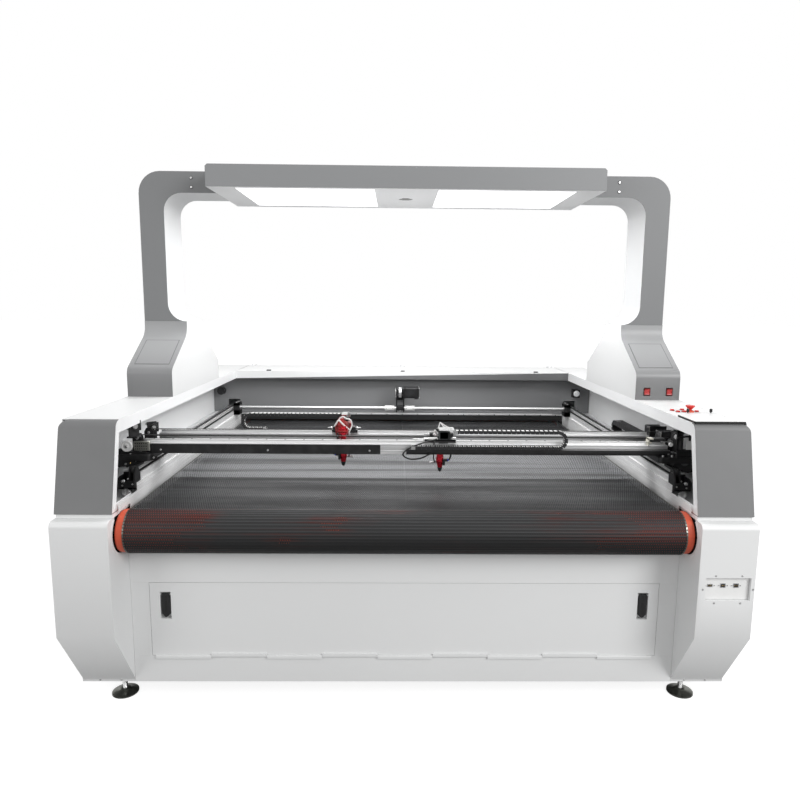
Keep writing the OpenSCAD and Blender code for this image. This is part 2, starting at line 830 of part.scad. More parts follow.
module light_box() {
    d = [light_at, light_at + light_depth];
    top = overall_height;
    cut = 8;
    color("gray") {
        difference() {
            translate([0, fy(d[1]), 0]) rotate([90, 0, 0]) linear_extrude(light_depth)
                polygon([[-light_half, arch_beam_z], [light_half, arch_beam_z], [light_half, top - cut],
                         [light_half - cut, top], [-light_half + cut, top], [-light_half, top - cut]]);
            block([-light_half + sheet, light_half - sheet], [d[0] + sheet, d[1] - sheet],
                  [arch_beam_z + sheet, top - cut - sheet]);
            both_sides() block(panel_x, panel_d, [arch_beam_z - 1, arch_beam_z + sheet + 1]);
            translate([0, fy(arch_at + arch_depth / 2), arch_beam_z - 1])
                cylinder(r = lens_radius + 14, h = sheet + 2, $fn = 6);
        }
    }
}

module light_panels() {
    color("white") both_sides()
        block([panel_x[0] - 6, panel_x[1] + 6], [panel_d[0] - 6, panel_d[1] + 6],
              [arch_beam_z + sheet, arch_beam_z + sheet + 6]);
}

module camera() {
    at = arch_at + arch_depth / 2;
    color("black") difference() {
        union() {
            rod_z(lens_radius, 0, at, [arch_beam_z + 0.5, arch_beam_z + 26]);
            block([-30, 30], [at - 30, at + 30], [arch_beam_z + 20, overall_height - 8 - sheet]);
            both_sides() block([30, 45], [at - 20, at + 20], [arch_beam_z + sheet, arch_beam_z + 24]);
        }
        rod_z(lens_radius - 3, 0, at, [arch_beam_z - 1, arch_beam_z + 8]);
    }
}

// ---------------------------------------------------------------- conveyor

module belt_bed() {
    top = roller_z + belt_inner - running_gap;
    d = [roller_setback + roller_radius + 15, rear_roller - roller_radius - 15];
    rail = belt_half - 30;
    color("dimgray") {
        both_sides() {
            block([rail - 4, rail], d, [top - bed_height, top]);
            for (k = [d[0] + 60, (d[0] + d[1]) / 2, d[1] - 80])
                block([rail, frame_x], [k, k + 20], [top - bed_height, top - bed_height + 20]);
        }
        block([-2, 2], d, [top - bed_height, top]);
        for (k = [d[0]:slat_pitch:d[1]]) block([-rail, rail], [k, k + 2], [top - bed_height, top]);
    }
}

module side_guards() {
    x = in_x - 10;
    d = [roller_setback - 33, roller_setback + 51, idler_at - 10, partition - 1];
    top = side_beam_top - 32;
    color("white") both_sides() {
        block([x, x + sheet], [d[0], d[3]], [belt_top + 2, sill_z]);
        block([x, x + sheet], [d[1], d[3]], [roller_z + 46, sill_z]);
        block([x, x + sheet], [d[2], d[3]], [sill_z - 1, top]);
        block([x, side_beam_x], [side_beam_front, d[3]], [top - sheet, top]);
    }
}

module mesh_belt() {
    color("darkslategray") translate([-belt_half, 0, roller_z]) rotate([90, 0, 90])
        linear_extrude(2 * belt_half)
        loop_2d(fy(roller_setback), fy(rear_roller), belt_inner, belt_thickness);
}

// A tube with closed ends, on a shaft that shows at both ends
module conveyor_roller(d) {
    wall = 6;
    cap = 12;
    difference() {
        rod_x(roller_radius, [-roller_half, roller_half], d, roller_z);
        rod_x(roller_radius - wall, [cap - roller_half, roller_half - cap], d, roller_z);
    }
    both_sides() rod_x(roller_shaft_radius, [roller_half - cap, roller_shaft_end], d, roller_z);
}

module front_roller() {
    color("orangered") conveyor_roller(roller_setback);
}

module rear_roller() {
    color("orangered") conveyor_roller(rear_roller);
}

module roller_bearings() {
    color("slategray") both_sides() for (d = [roller_setback, rear_roller]) difference() {
        union() {
            rod_x(38, [bearing_x, bearing_x + 10], d, roller_z);
            rod_x(26, [bearing_x, bearing_x + 27], d, roller_z);
        }
        rod_x(roller_shaft_radius + shaft_fit, [bearing_x - 1, bearing_x + 28], d, roller_z);
    }
}

// ---------------------------------------------------------------- side beams and Y drive

module side_beams() {
    x = [side_beam_x, side_beam_x + side_beam_width];
    z = [side_beam_top - side_beam_height, side_beam_top];
    color("silver") both_sides() {
        difference() {
            block(x, [side_beam_front, side_beam_rear], z);
            // rebate for the lower run of the belt
            block([x[0] - 1, y_belt_x + toothed_belt_width + 2], [side_beam_front - 1, drive_shaft_at + 30],
                  [drive_shaft_z - pulley_radius - 3, z[1] + 1]);
            // hollow core and the slot in the outer face
            block([x[0] + 5, x[1] - 5], [side_beam_front - 1, side_beam_rear + 1], [z[0] + 5, z[0] + 25]);
            block([x[1] - 6, x[1] + 1], [side_beam_front - 1, side_beam_rear + 1], [z[0] + 11, z[0] + 19]);
        }
        block([rail_x - rail_width / 2, rail_x + rail_width / 2], [side_beam_front, partition - 10],
              [z[1], rail_top]);
        for (k = [0:3]) {
            d = side_beam_front + 60 + k * (partition - side_beam_front - 140) / 3;
            block([x[0] + 6, x[1] - 6], [d, d + 40], [housing_bottom + sheet, z[0]]);
        }
    }
}

module y_belts() {
    color("black") both_sides() translate([y_belt_x, 0, drive_shaft_z]) rotate([90, 0, 90])
        linear_extrude(toothed_belt_width)
        loop_2d(fy(idler_at), fy(drive_shaft_at), pulley_radius - toothed_belt_thickness / 2,
                toothed_belt_thickness);
}

module drive_shaft() {
    coupling = 14;
    color("silver") {
        rod_x(drive_shaft_radius, [-y_belt_x - toothed_belt_width - 1, y_belt_x + toothed_belt_width + 1],
              drive_shaft_at, drive_shaft_z);
        both_sides() rod_x(y_pulley_inner, [y_belt_x + 0.3, y_belt_x + toothed_belt_width - 0.3],
                           drive_shaft_at, drive_shaft_z);
        rod_x(coupling, [reducer_x[0] - 58, reducer_x[0] - 8], drive_shaft_at, drive_shaft_z);
        rod_x(coupling, [reducer_x[1] + 4, reducer_x[1] + 54], drive_shaft_at, drive_shaft_z);
    }
}

// Reducer in the middle of the drive shaft, with its arm to the partition
reducer_x = [-34, 8];
motor_z = drive_shaft_z + 82;

module pulley_brackets() {
    idler_pin = 3;
    shaft_bore = drive_shaft_radius + shaft_fit;
    x = [side_beam_x - 3, side_beam_x + side_beam_width];
    z = drive_shaft_z;
    color("dimgray") {
        both_sides() {
            // front idler bracket with its pin, and the tension screw under it
            difference() {
                union() {
                    block([x[0], side_beam_x + 18], [idler_at - 23, idler_at + 23],
                          [side_beam_top - 48, z + pulley_radius]);
                    block(x, [idler_at - 26, side_beam_front], [side_beam_top - 48, side_beam_top - 9]);
                }
                block([y_belt_x - 0.5, y_belt_x + toothed_belt_width + 0.5],
                      [idler_at - 20, side_beam_front + 1], [z - pulley_radius - 5, z + pulley_radius + 7]);
            }
            rod_x(idler_pin, [x[0], y_belt_x + toothed_belt_width + 1], idler_at, z);
            rod_y(13, side_beam_x + 25, [idler_at - 20, idler_at], side_beam_top - 61);
            // bearing block at the end of the drive shaft
            difference() {
                block([side_beam_x - 30, side_beam_x], [drive_shaft_at - 30, drive_shaft_at + 30],
                      [side_beam_top - 29, z + 26]);
                rod_x(shaft_bore, [side_beam_x - 31, side_beam_x + 1], drive_shaft_at, z);
            }
        }
        difference() {
            union() {
                block(reducer_x, [drive_shaft_at - 30, drive_shaft_at + 30], [z - 18, motor_z + 28]);
                block([reducer_x[0] + 4, reducer_x[1] - 4], [drive_shaft_at + 30, partition],
                      [motor_z - 40, motor_z + 20]);
            }
            rod_x(shaft_bore, [reducer_x[0] - 1, reducer_x[1] + 1], drive_shaft_at, z);
        }
    }
}

module idler_wheel() {
    difference() {
        rod_x(y_pulley_inner, [y_belt_x + 0.3, y_belt_x + toothed_belt_width - 0.3], idler_at, drive_shaft_z);
        rod_x(3 + shaft_fit, [y_belt_x - 1, y_belt_x + toothed_belt_width + 1], idler_at, drive_shaft_z);
    }
}

module left_y_idler() {
    color("silver") mirror([1, 0, 0]) idler_wheel();
}

module right_y_idler() {
    color("silver") idler_wheel();
}

// Square motor along X or Y, with its front boss
module motor_x(x, d, z) {
    h = motor_side / 2;
    block([x[0], x[1]], [d - h, d + h], [z - h, z + h]);
}

module drive_motors() {
    gear = [roller_shaft_end - 3, half_w - sheet - 8];
    gear_d = [roller_setback - 48, roller_setback + 48];
    color("black") {
        motor_x([reducer_x[1], reducer_x[1] + 76], drive_shaft_at, motor_z);
        // shaft-mounted gear unit of the conveyor with its upright motor
        difference() {
            block(gear, gear_d, [roller_z - 48, roller_z + 48]);
            rod_x(roller_shaft_radius + shaft_fit, [gear[0] - 1, roller_shaft_end + 1], roller_setback, roller_z);
        }
        rod_z(40, (gear[0] + gear[1]) / 2, roller_setback, [roller_z - 210, roller_z - 48]);
        block([gear[0] - 5, gear[0]], [gear_d[0], frame_front], [roller_z - 40, roller_z - 28]);
    }
}

// ---------------------------------------------------------------- gantry

// Aluminium beam with a slot along its front and back, and a linear rail on top
module gantry_beam(d) {
    half = beam_width / 2;
    difference() {
        block([-beam_half, beam_half], [d - half, d + half], [beam_z, beam_top]);
        block([-beam_half - 1, beam_half + 1], [d - half + 4, d + half - 4], [beam_z + 4, beam_top - 8]);
        for (side = [-1, 1])
            block([-beam_half - 1, beam_half + 1], [d + side * half - 5, d + side * half + 5],
                  [beam_z + 11, beam_z + 18]);
    }
    block([-beam_half + 4, beam_half - 4], [d - rail_width / 2, d + rail_width / 2], [beam_top, x_rail_top]);
}

module gantry_front_beam() {
    color("silver") gantry_beam(front_beam_at);
}

module gantry_rear_beam() {
    color("silver") gantry_beam(rear_beam_at);
}

// Block that runs on a rail along Y, by the middle of the block
module y_slider(d) {
    half = rail_width / 2 + running_gap;
    difference() {
        block([rail_x - 16, rail_x + 16], [d - 32, d + 32], [side_beam_top + 2, plate_bottom]);
        block([rail_x - half, rail_x + half], [d - 33, d + 33], [side_beam_top + 1, rail_top + running_gap]);
    }
}

module gantry_end_plates() {
    clamp_z = drive_shaft_z + pulley_radius;
    slot = toothed_belt_thickness / 2 + running_gap;
    color("black") {
        both_sides() {
            block([plate_inner, plate_outer], [plate_front, plate_rear], [plate_bottom, beam_z]);
            for (d = [front_beam_at, rear_beam_at]) y_slider(d);
            // clamp round the upper run of the Y belt
            difference() {
                block([y_belt_x - 4, y_belt_x + toothed_belt_width + 1], [head_line - 20, head_line + 20],
                      [clamp_z - slot - 2.5, plate_bottom]);
                block([y_belt_x - running_gap, y_belt_x + toothed_belt_width + 2],
                      [head_line - 21, head_line + 21], [clamp_z - slot, clamp_z + slot]);
            }
        }
        // arm over the end of the cable chain on the right
        block([plate_outer, y_chain_x + y_link_width], [y_chain_head - 30, y_chain_head + 10],
              [y_chain_z + y_chain_radius + y_link_height / 2, beam_z]);
    }
}

motor_plate = 4;
front_motor_at = front_belt_at + toothed_belt_width + 3;
rear_motor_at = rear_belt_at + toothed_belt_width + 3;
motor_shaft_radius = 4;

module x_motor(d) {
    h = motor_side / 2;
    color("black") {
        difference() {
            block([pulley_x - h, pulley_x + h], [d, d + motor_plate], [beam_z, x_pulley_z + h]);
            rod_y(11, pulley_x, [d - 1, d + motor_plate + 1], x_pulley_z);
        }
        block([pulley_x - h, pulley_x + h], [d + motor_plate, d + motor_plate + 52],
              [x_pulley_z - h, x_pulley_z + h]);
        block([pulley_x - 20, pulley_x + 20], [d + motor_plate, d + motor_plate + 30],
              [beam_z, x_pulley_z - h]);
        rod_y(11 - shaft_fit, pulley_x, [d + 2, d + motor_plate], x_pulley_z);
    }
}

module x_motors() {
    x_motor(front_motor_at);
    x_motor(rear_motor_at);
}

module x_belt(d) {
    translate([0, fy(d + toothed_belt_width), x_pulley_z]) rotate([90, 0, 0])
        linear_extrude(toothed_belt_width)
        loop_2d(-pulley_x, pulley_x, pulley_radius - toothed_belt_thickness / 2, toothed_belt_thickness);
}

module x_belts() {
    color("black") {
        x_belt(front_belt_at);
        x_belt(rear_belt_at);
    }
}

// Pulley on the motor shaft; the shaft turns with it in the boss of the motor
module x_pulley(d) {
    color("silver") {
        rod_y(y_pulley_inner, pulley_x, [d + 0.3, d + toothed_belt_width - 0.3], x_pulley_z);
        rod_y(motor_shaft_radius, pulley_x, [d + 1, d + toothed_belt_width + 4.7], x_pulley_z);
    }
}

module front_x_pulley() {
    x_pulley(front_belt_at);
}

module rear_x_pulley() {
    x_pulley(rear_belt_at);
}

module x_idler(d) {
    color("silver") difference() {
        rod_y(y_pulley_inner, -pulley_x, [d + 0.3, d + toothed_belt_width - 0.3], x_pulley_z);
        rod_y(motor_shaft_radius + shaft_fit, -pulley_x, [d - 1, d + toothed_belt_width + 1], x_pulley_z);
    }
}

module front_x_idler() {
    x_idler(front_belt_at);
}

module rear_x_idler() {
    x_idler(rear_belt_at);
}

// Fork that carries an idler at the left end of a beam
module idler_fork(d) {
    for (y = [d - 3.2, d + toothed_belt_width + 0.2])
        block([-pulley_x - 16, -pulley_x + 16], [y, y + 3], [beam_z, x_pulley_z + 16]);
    rod_y(motor_shaft_radius, -pulley_x, [d - 3.2, d + toothed_belt_width + 3.2], x_pulley_z);
}

// Mirror mount: a foot, an upright plate and the round mirror holder
module mirror_mount(x, d, z, turn) {
    block([x - 18, x + 18], [d - 16, d + 16], [beam_z, beam_z + 5]);
    translate([x, fy(d), 0]) rotate([0, 0, turn]) {
        translate([-20, -3, beam_z + 5]) cube([40, 6, z - beam_z - 5]);
        translate([0, -3, z - 24]) rotate([90, 0, 0]) cylinder(r = 14, h = 9);
    }
}

module gantry_brackets() {
    tray_z = front_chain_z - chain_radius - link_height / 2;
    rear_tray_z = rear_chain_z - chain_radius - link_height / 2;
    front_face = front_beam_at - beam_width / 2;
    rear_face = rear_beam_at + beam_width / 2;
    color("black") {
        for (d = [front_belt_at, rear_belt_at]) idler_fork(d);
        mirror_mount(-in_x - 20, front_beam_at - 8, 903, 45);
        mirror_mount(-in_x - 32, rear_beam_at + 20, 862, 45);
        mirror_mount(in_x + 32, front_beam_at - 4, 878, -45);
        // trays of the two head chains and the dark covers along the front beam
        block([front_chain_fixed - 20, beam_half], [front_lane, front_face], [tray_z - 2, tray_z]);
        block([front_chain_fixed - 20, beam_half], [front_face - 2, front_face], [beam_z, tray_z]);
        block([-beam_half, -85], [front_face - 2, front_face], [beam_z, beam_top]);
        block([-beam_half, rear_chain_fixed + 40], [rear_face, rear_lane + link_width],
              [rear_tray_z - 2, rear_tray_z]);
        block([-beam_half, rear_chain_fixed + 40], [rear_face, rear_face + 2], [beam_z, rear_tray_z]);
    }
}

// ---------------------------------------------------------------- cutting heads

// Carriage on a beam: slider, block, belt clamps and the arm to the line of the nozzles
module head_carriage(x, beam_at, belt_at, way, slider, body) {
    half = rail_width / 2 + running_gap;
    slot = toothed_belt_thickness / 2 + running_gap;
    belt_z = x_pulley_z + pulley_radius;
    far = head_line + way * (beam_spacing / 2 - 6);
    difference() {
        block([x + slider[0], x + slider[1]], [beam_at - 21, beam_at + 21], [beam_top + 2, beam_top + 16]);
        block([x + slider[0] - 1, x + slider[1] + 1], [beam_at - half, beam_at + half],
              [beam_top + 1, x_rail_top + running_gap]);
    }
    block([x + body[0], x + body[1]], [beam_at - 20, beam_at + 20], [beam_top + 16, beam_top + 41]);
    // belt clamps, one on each side of the block, hanging from the arm
    for (side = [-1, 1]) difference() {
        block([x + side * 30 - 8, x + side * 30 + 8],
              [min(belt_at - 1, beam_at), max(belt_at + toothed_belt_width + 1, beam_at)],
              [belt_z - slot - 2, belt_z + slot + 5]);
        block([x + side * 30 - 9, x + side * 30 + 9],
              [belt_at - running_gap, belt_at + toothed_belt_width + running_gap],
              [belt_z - slot, belt_z + slot]);
        block([x + side * 30 - 9, x + side * 30 + 9], [beam_at - 22, beam_at + 21.5],
              [belt_z - 10, beam_top + 15.9]);
    }
    difference() {
        block([x - 17, x + 17], [min(beam_at, head_line - 17), max(beam_at, head_line + 17)],
              [belt_z + 4, belt_z + 10]);
        rod_z(12 + shaft_fit, x, head_line, [belt_z + 3, belt_z + 11]);
    }
}

// Lens tube, lens holder and nozzle on one axis, with a through hole for the beam
module nozzle(x, tip) {
    top = x_pulley_z + pulley_radius + 24;
    translate([x, fy(head_line), 0]) difference() {
        union() {
            translate([0, 0, tip + 45]) cylinder(r = 12, h = top - tip - 45);
            translate([0, 0, tip + 40]) cylinder(r = 17, h = 26);
            translate([0, 0, tip + 8]) cylinder(r1 = 6, r2 = 15, h = 32);
            translate([0, 0, tip]) cylinder(r1 = 2.5, r2 = 6, h = 8);
            // collar that rests on the arm
            translate([0, 0, x_pulley_z + pulley_radius + 10]) cylinder(r = 16, h = 6);
        }
        translate([0, 0, tip - 1]) cylinder(r = 1.5, h = top - tip + 2);
        translate([0, 0, tip + 2]) cylinder(r1 = 1.5, r2 = 9, h = 24);
        translate([0, 0, tip + 25.9]) cylinder(r = 9, h = top - tip);
        // gas fitting
        translate([0, 0, tip + 52]) rotate([0, 90, 0]) cylinder(r = 2.5, h = 20);
    }
}

module left_head_carriage() {
    x = left_head_x;
    end = rear_chain_z + chain_radius + link_height / 2;
    color("firebrick") {
        head_carriage(x, rear_beam_at, rear_belt_at, 1, [-44, 44], [-22, 22]);
        // bracket that leads the cable chain over the beam
        block([x - 12, x + 12], [rear_beam_at - 10, rear_lane + link_width], [end, end + 3]);
        block([x - 12, x + 12], [rear_beam_at - 10, rear_beam_at + 10], [beam_top + 41, end]);
    }
}

module left_head_nozzle() {
    color("crimson") nozzle(left_head_x, left_tip_z);
}

module right_head_carriage() {
    x = right_head_x;
    end = front_chain_z + chain_radius + link_height / 2;
    color("black") {
        head_carriage(x, front_beam_at, front_belt_at, -1, [-58, 44], [-9, 26]);
        block([x - 12, x + 39], [front_lane, front_beam_at + 10], [end, end + 3]);
        block([x - 12, x + 12], [front_beam_at - 10, front_beam_at + 10], [beam_top + 41, end]);
    }
}

module right_head_nozzle() {
    color("crimson") nozzle(right_head_x, right_tip_z);
}

// Cable chain in an upright plane: lower run from the fixed end, half a ring, upper run to the head
module chain_outline(fixed, bend, head, r, h) {
    way = bend > fixed ? 1 : -1;
    far = way > 0 ? min(fixed, head) : max(fixed, head);
    outer = r + h / 2;
    inner = r - h / 2;
    difference() {
        union() {
            translate([bend, 0]) circle(outer);
            translate([min(bend, far), -outer]) square([abs(bend - far), 2 * outer]);
        }
        union() {
            translate([bend, 0]) circle(inner);
            translate([way > 0 ? far - 1 : bend, -inner]) square([abs(bend - far) + 1, 2 * inner]);
        }
        // each run ends at its own end of the chain
        for (k = [[fixed, -outer - 1], [head, 0]])
            translate([way > 0 ? far - 1 : k[0], k[1]]) square([abs(k[0] - far) + 1, outer + 1]);
    }
}

module left_head_chain() {
    color("black") translate([0, fy(rear_lane + link_width), rear_chain_z]) rotate([90, 0, 0])
        linear_extrude(link_width)
        chain_outline(rear_chain_fixed, rear_chain_bend, left_head_x + 12, chain_radius, link_height);
}

module right_head_chain() {
    color("black") translate([0, fy(front_lane + link_width), front_chain_z]) rotate([90, 0, 0])
        linear_extrude(link_width)
        chain_outline(front_chain_fixed, front_chain_bend, right_head_x + 39, chain_radius, link_height);
}

module gantry_chain() {
    color("black") translate([y_chain_x, 0, y_chain_z]) rotate([90, 0, 90])
        linear_extrude(y_link_width)
        chain_outline(fy(y_chain_fixed), fy(y_chain_bend), fy(y_chain_head), y_chain_radius, y_link_height);
}

// ---------------------------------------------------------------- rear bay

module rear_partition() {
    x = liner_x - 0.5;
    z = [bay_floor - sheet, deck_z - sheet];
    color("gray") {
        difference() {
            block([-x, x], [partition, partition + sheet], [z[0], z[1]]);
            both_sides() {
                block([in_x - 8, side_beam_x + side_beam_width + 8], [partition - 1, partition + sheet + 1],
                      [z[0] - 1, rail_top + 24]);
                block([in_x - 8, x + 1], [partition - 1, partition + sheet + 1], [z[0] - 1, shelf_z]);
            }
        }
        block([-in_x + 0.5, in_x - 0.5], [partition, overall_depth - sheet], [z[0], z[0] + sheet]);
        // top flange with its lip in front
        block([-in_x + 0.5, in_x - 0.5], [rear_deck_edge, partition + sheet], [deck_z - sheet, deck_z]);
        block([-in_x + 0.5, in_x - 0.5], [rear_deck_edge, rear_deck_edge + sheet],
              [deck_z - lip_height, deck_z]);
    }
    color("black") fixed_mirrors();
}

// Fixed mirror holders in front of the partition, one for each beam
fixed_mirror_z = deck_z - 110;

module fixed_mirrors() {
    left = -in_x - 85;
    right = in_x + 50;
    rod_y(20, left, [partition - 30, partition], fixed_mirror_z);
    block([right - 18, right + 18], [partition - 36, partition], [fixed_mirror_z - 22, fixed_mirror_z + 20]);
    translate([right, fy(partition - 36), fixed_mirror_z]) rotate([90, 0, 0])
        cylinder(r1 = 16, r2 = 10, h = 12);
}

module rear_cover() {
    d = [overall_depth - sheet, overall_depth];
    x = in_x - 0.5;
    color("whitesmoke") {
        difference() {
            block([-x, x], d, [body_bottom, deck_z]);
            block([-x - 1, x + 1], [d[0] - 1, d[1] + 1], [roller_z - belt_outer - 20, bay_floor - sheet]);
            rod_y(exhaust_radius + 0.5, exhaust_x, [d[0] - 1, d[1] + 1], exhaust_z);
        }
        block([-x, x], [lid_rear, d[1]], [deck_z - sheet, deck_z]);
        block([-x, x], [frame_rear, d[1]], [body_bottom, body_bottom + sheet]);
        // ledge under the front edge of the lid
        block([-x, x], [partition + sheet, lid_front + 12],
              [deck_z - 2 * sheet - running_gap, deck_z - sheet - running_gap]);
        // fixed knuckles and the pins of the lid hinges
        for (hinge = lid_hinges) {
            for (side = [-1, 1]) lid_knuckle([hinge + side * 11 - 4, hinge + side * 11 + 4], 1);
            rod_x(lid_pin_radius, [hinge - 15, hinge + 15], lid_axis_at, lid_axis_z);
        }
    }
}

lid_hinges = [-in_x + 30, 0, in_x - 30];

// Hinge knuckle with its foot, behind the axis on the deck or in front of it on the lid
module lid_knuckle(x, way) {
    difference() {
        union() {
            rod_x(lid_pin_radius + 2, x, lid_axis_at, lid_axis_z);
            if (way > 0) block(x, [lid_axis_at, overall_depth], [deck_z, lid_axis_z]);
            if (way < 0) {
                block(x, [lid_rear - 8, lid_rear - 2], [deck_z, lid_axis_z + lid_pin_radius]);
                block(x, [lid_rear - 8, lid_axis_at], [deck_z + running_gap, lid_axis_z + lid_pin_radius]);
            }
        }
        if (way < 0) rod_x(lid_pin_radius + shaft_fit, [x[0] - 1, x[1] + 1], lid_axis_at, lid_axis_z);
    }
}

module tube_lid() {
    x = in_x - 4;
    color("whitesmoke") {
        block([-x, x], [lid_front, lid_rear - 2], [deck_z - sheet, deck_z]);
        for (d = [lid_front + 16, lid_rear - 6])
            block([-x + 6, x - 6], [d, d + sheet], [deck_z - 16, deck_z - sheet]);
        for (hinge = lid_hinges) lid_knuckle([hinge - 6.5, hinge + 6.5], -1);
    }
}

module laser_tubes() {
    floor_z = bay_floor;
    axis_z = floor_z + 22 + tube_radius;
    bay = overall_depth - partition;
    for (d = [partition + bay * 0.27, partition + bay * 0.7]) {
        color("lightcyan") rod_x(tube_radius, [-tube_length / 2, tube_length / 2], d, axis_z);
        color("dimgray") for (x = [-tube_length * 0.35, 0, tube_length * 0.35]) difference() {
            block([x - 15, x + 15], [d - tube_radius - 6, d + tube_radius + 6], [floor_z, axis_z - 6]);
            rod_x(tube_radius + shaft_fit, [x - 16, x + 16], d, axis_z);
        }
    }
}

module power_box() {
    low = body_bottom + sheet + tube;
    color("lightgray") {
        block([-640, -120], [frame_rear - 240, frame_rear], [low, low + 290]);
        block([-600, -160], [frame_rear - 242, frame_rear - 240], [low + 30, low + 260]);
    }
}

exhaust_x = 370;
exhaust_z = 300;

module exhaust_duct() {
    low = body_bottom + sheet + tube;
    x = [exhaust_x - 250, exhaust_x + 250];
    d = [frame_rear - 200, frame_rear];
    color("silver") difference() {
        union() {
            block(x, d, [low, low + 325]);
            rod_y(exhaust_radius, exhaust_x, [d[1], overall_depth - 0.5], exhaust_z);
        }
        block([x[0] + sheet, x[1] - sheet], [d[0] - 1, d[1] - sheet], [low + sheet, low + 325 - sheet]);
        rod_y(exhaust_radius - sheet, exhaust_x, [d[1] - 3, overall_depth + 1], exhaust_z);
    }
}

// ---------------------------------------------------------------- controls, feet and fasteners

rocker_z = deck_z + 31;
rocker_places = [in_x + 43, in_x + 128];
knob_places = [[in_x + 66, 296], [in_x + 143, 296]];
key_places = [[36, 349], [43, 320], [76, 363], [64, 322], [110, 328]];
key_radius = 6;
stop_x = in_x + 85;
stop_stem = 5;
stop_base_top = deck_z + 8;

module control_panel() {
    pivot_d = pedestal_setback + 6;
    color("white") block([in_x + 1, half_w - 12], [cover_top_setback + 8, cover_top_setback + 128],
                         [deck_z, deck_z + 4]);
    color("gold") difference() {
        rod_z(13, stop_x, stop_setback, [deck_z, stop_base_top]);
        rod_z(stop_stem + shaft_fit, stop_x, stop_setback, [deck_z + 1, stop_base_top + 1]);
    }
    color("red") for (k = key_places) rod_z(key_radius, in_x + k.x, k.y, [deck_z, deck_z + 5]);
    color("dimgray") for (k = knob_places) difference() {
        rod_z(4, k.x, k.y, [deck_z, deck_z + 4]);
        rod_z(2 + shaft_fit, k.x, k.y, [deck_z + 1, deck_z + 5]);
    }
    color("darkred") for (x = rocker_places) {
        w = rocker_width / 2;
        h = rocker_height / 2;
        difference() {
            block([x - w + 0.2, x + w - 0.2], [pedestal_setback - 4.5, pedestal_setback + 22],
                  [rocker_z - h + 0.2, rocker_z + h - 0.2]);
            block([x - w + 3, x + w - 3], [pedestal_setback - 6, pedestal_setback + 16],
                  [rocker_z - h + 2.5, rocker_z + h - 2.5]);
        }
        rod_x(1.5, [x - w + 2, x + w - 2], pivot_d, rocker_z);
    }
}

module emergency_stop() {
    z = stop_base_top + stop_travel + running_gap;
    color("red") {
        rod_z(stop_stem, stop_x, stop_setback, [z - stop_travel - 3, z + 1]);
        translate([stop_x, fy(stop_setback), z]) {
            cylinder(r1 = stop_radius - 5, r2 = stop_radius, h = 8);
            translate([0, 0, 8]) cylinder(r = stop_radius, h = 3);
        }
    }
}

module knob(k) {
    color("black") {
        rod_z(2, k.x, k.y, [deck_z + 1.5, deck_z + 6]);
        rod_z(knob_radius, k.x, k.y, [deck_z + 4.3, deck_z + 17]);
        block([k.x - 1, k.x + 1], [k.y - knob_radius, k.y], [deck_z + 17, deck_z + 18]);
    }
}

module left_knob() {
    knob(knob_places[0]);
}

module right_knob() {
    knob(knob_places[1]);
}

// Rocker of a switch, tipped so that its upper half stands out
module rocker(x) {
    w = rocker_width / 2 - 3.4;
    h = rocker_height / 2 - 5.5;
    at = pedestal_setback + 6;
    color("red") difference() {
        translate([x - w, fy(at), rocker_z]) rotate([90, 0, 90]) linear_extrude(2 * w)
            polygon([[-13, h], [-11, 0], [-9, -h], [3, -h], [5, 0], [3, h]]);
        rod_x(1.5 + shaft_fit, [x - w - 1, x + w + 1], at, rocker_z);
    }
}

module left_rocker() {
    rocker(rocker_places[0]);
}

module right_rocker() {
    rocker(rocker_places[1]);
}

module interface_panel() {
    color("whitesmoke") difference() {
        block([socket_x[0] + 1, socket_x[1] - 1], [socket_depth - sheet, socket_depth],
              [socket_z[0] + 1, socket_z[1] - 1]);
        for (k = sockets) socket_block(k, [socket_depth - 3, socket_depth + 1], 1.7);
    }
    color("black") for (k = sockets) difference() {
        socket_block(k, [socket_depth - 3, socket_back], 1.7);
        socket_block(k, [socket_depth - 4, socket_back - 2], 0);
    }
}

module levelling_feet() {
    color("silver") both_sides() for (d = foot_places) {
        rod_z(42, foot_x, d, [0, 6]);
        translate([foot_x, fy(d), 6]) cylinder(r1 = 42, r2 = 16, h = 10);
        rod_z(foot_stem_radius, foot_x, d, [10, body_bottom + 30]);
        translate([foot_x, fy(d), body_bottom - 10]) cylinder(r = 14, h = 10, $fn = 6);
    }
}

// Pan-head screws: strips of the pods, arch arms and round the recess of the sockets
module fasteners() {
    color("dimgray") {
        both_sides() for (x = [in_x + 45, in_x + 113])
            rod_y(3, x, [chamfer_depth - 1.5, chamfer_depth], body_bottom + strip_height / 2);
        both_sides() for (z = [arch_beam_z + 22, overall_height - 24])
            rod_y(4, light_half + 95, [arch_at - 2, arch_at], z);
        for (k = socket_screws) rod_y(2.5, k.x, [0.2, 1.2], k.y);
    }
}

base_frame();
pod_left();
pod_right();
front_panel();
housing_left();
housing_right();
grey_covers();
rear_cover();
rear_partition();
pedestals();
arch();
light_box();
light_panels();
camera();
belt_bed();
side_guards();
mesh_belt();
roller_bearings();
side_beams();
y_belts();
pulley_brackets();
drive_motors();
control_panel();
interface_panel();
levelling_feet();
laser_tubes();
power_box();
exhaust_duct();
fasteners();
gantry_front_beam();
gantry_rear_beam();
gantry_end_plates();
x_motors();
x_belts();
gantry_brackets();
left_head_carriage();
left_head_nozzle();
right_head_carriage();
right_head_nozzle();
left_head_chain();
right_head_chain();
gantry_chain();
drive_shaft();
left_y_idler();
right_y_idler();
rear_x_pulley();
front_x_pulley();
rear_x_idler();
front_x_idler();
front_roller();
rear_roller();
front_door();
left_latch();
right_latch();
emergency_stop();
left_knob();
right_knob();
left_rocker();
right_rocker();
tube_lid();
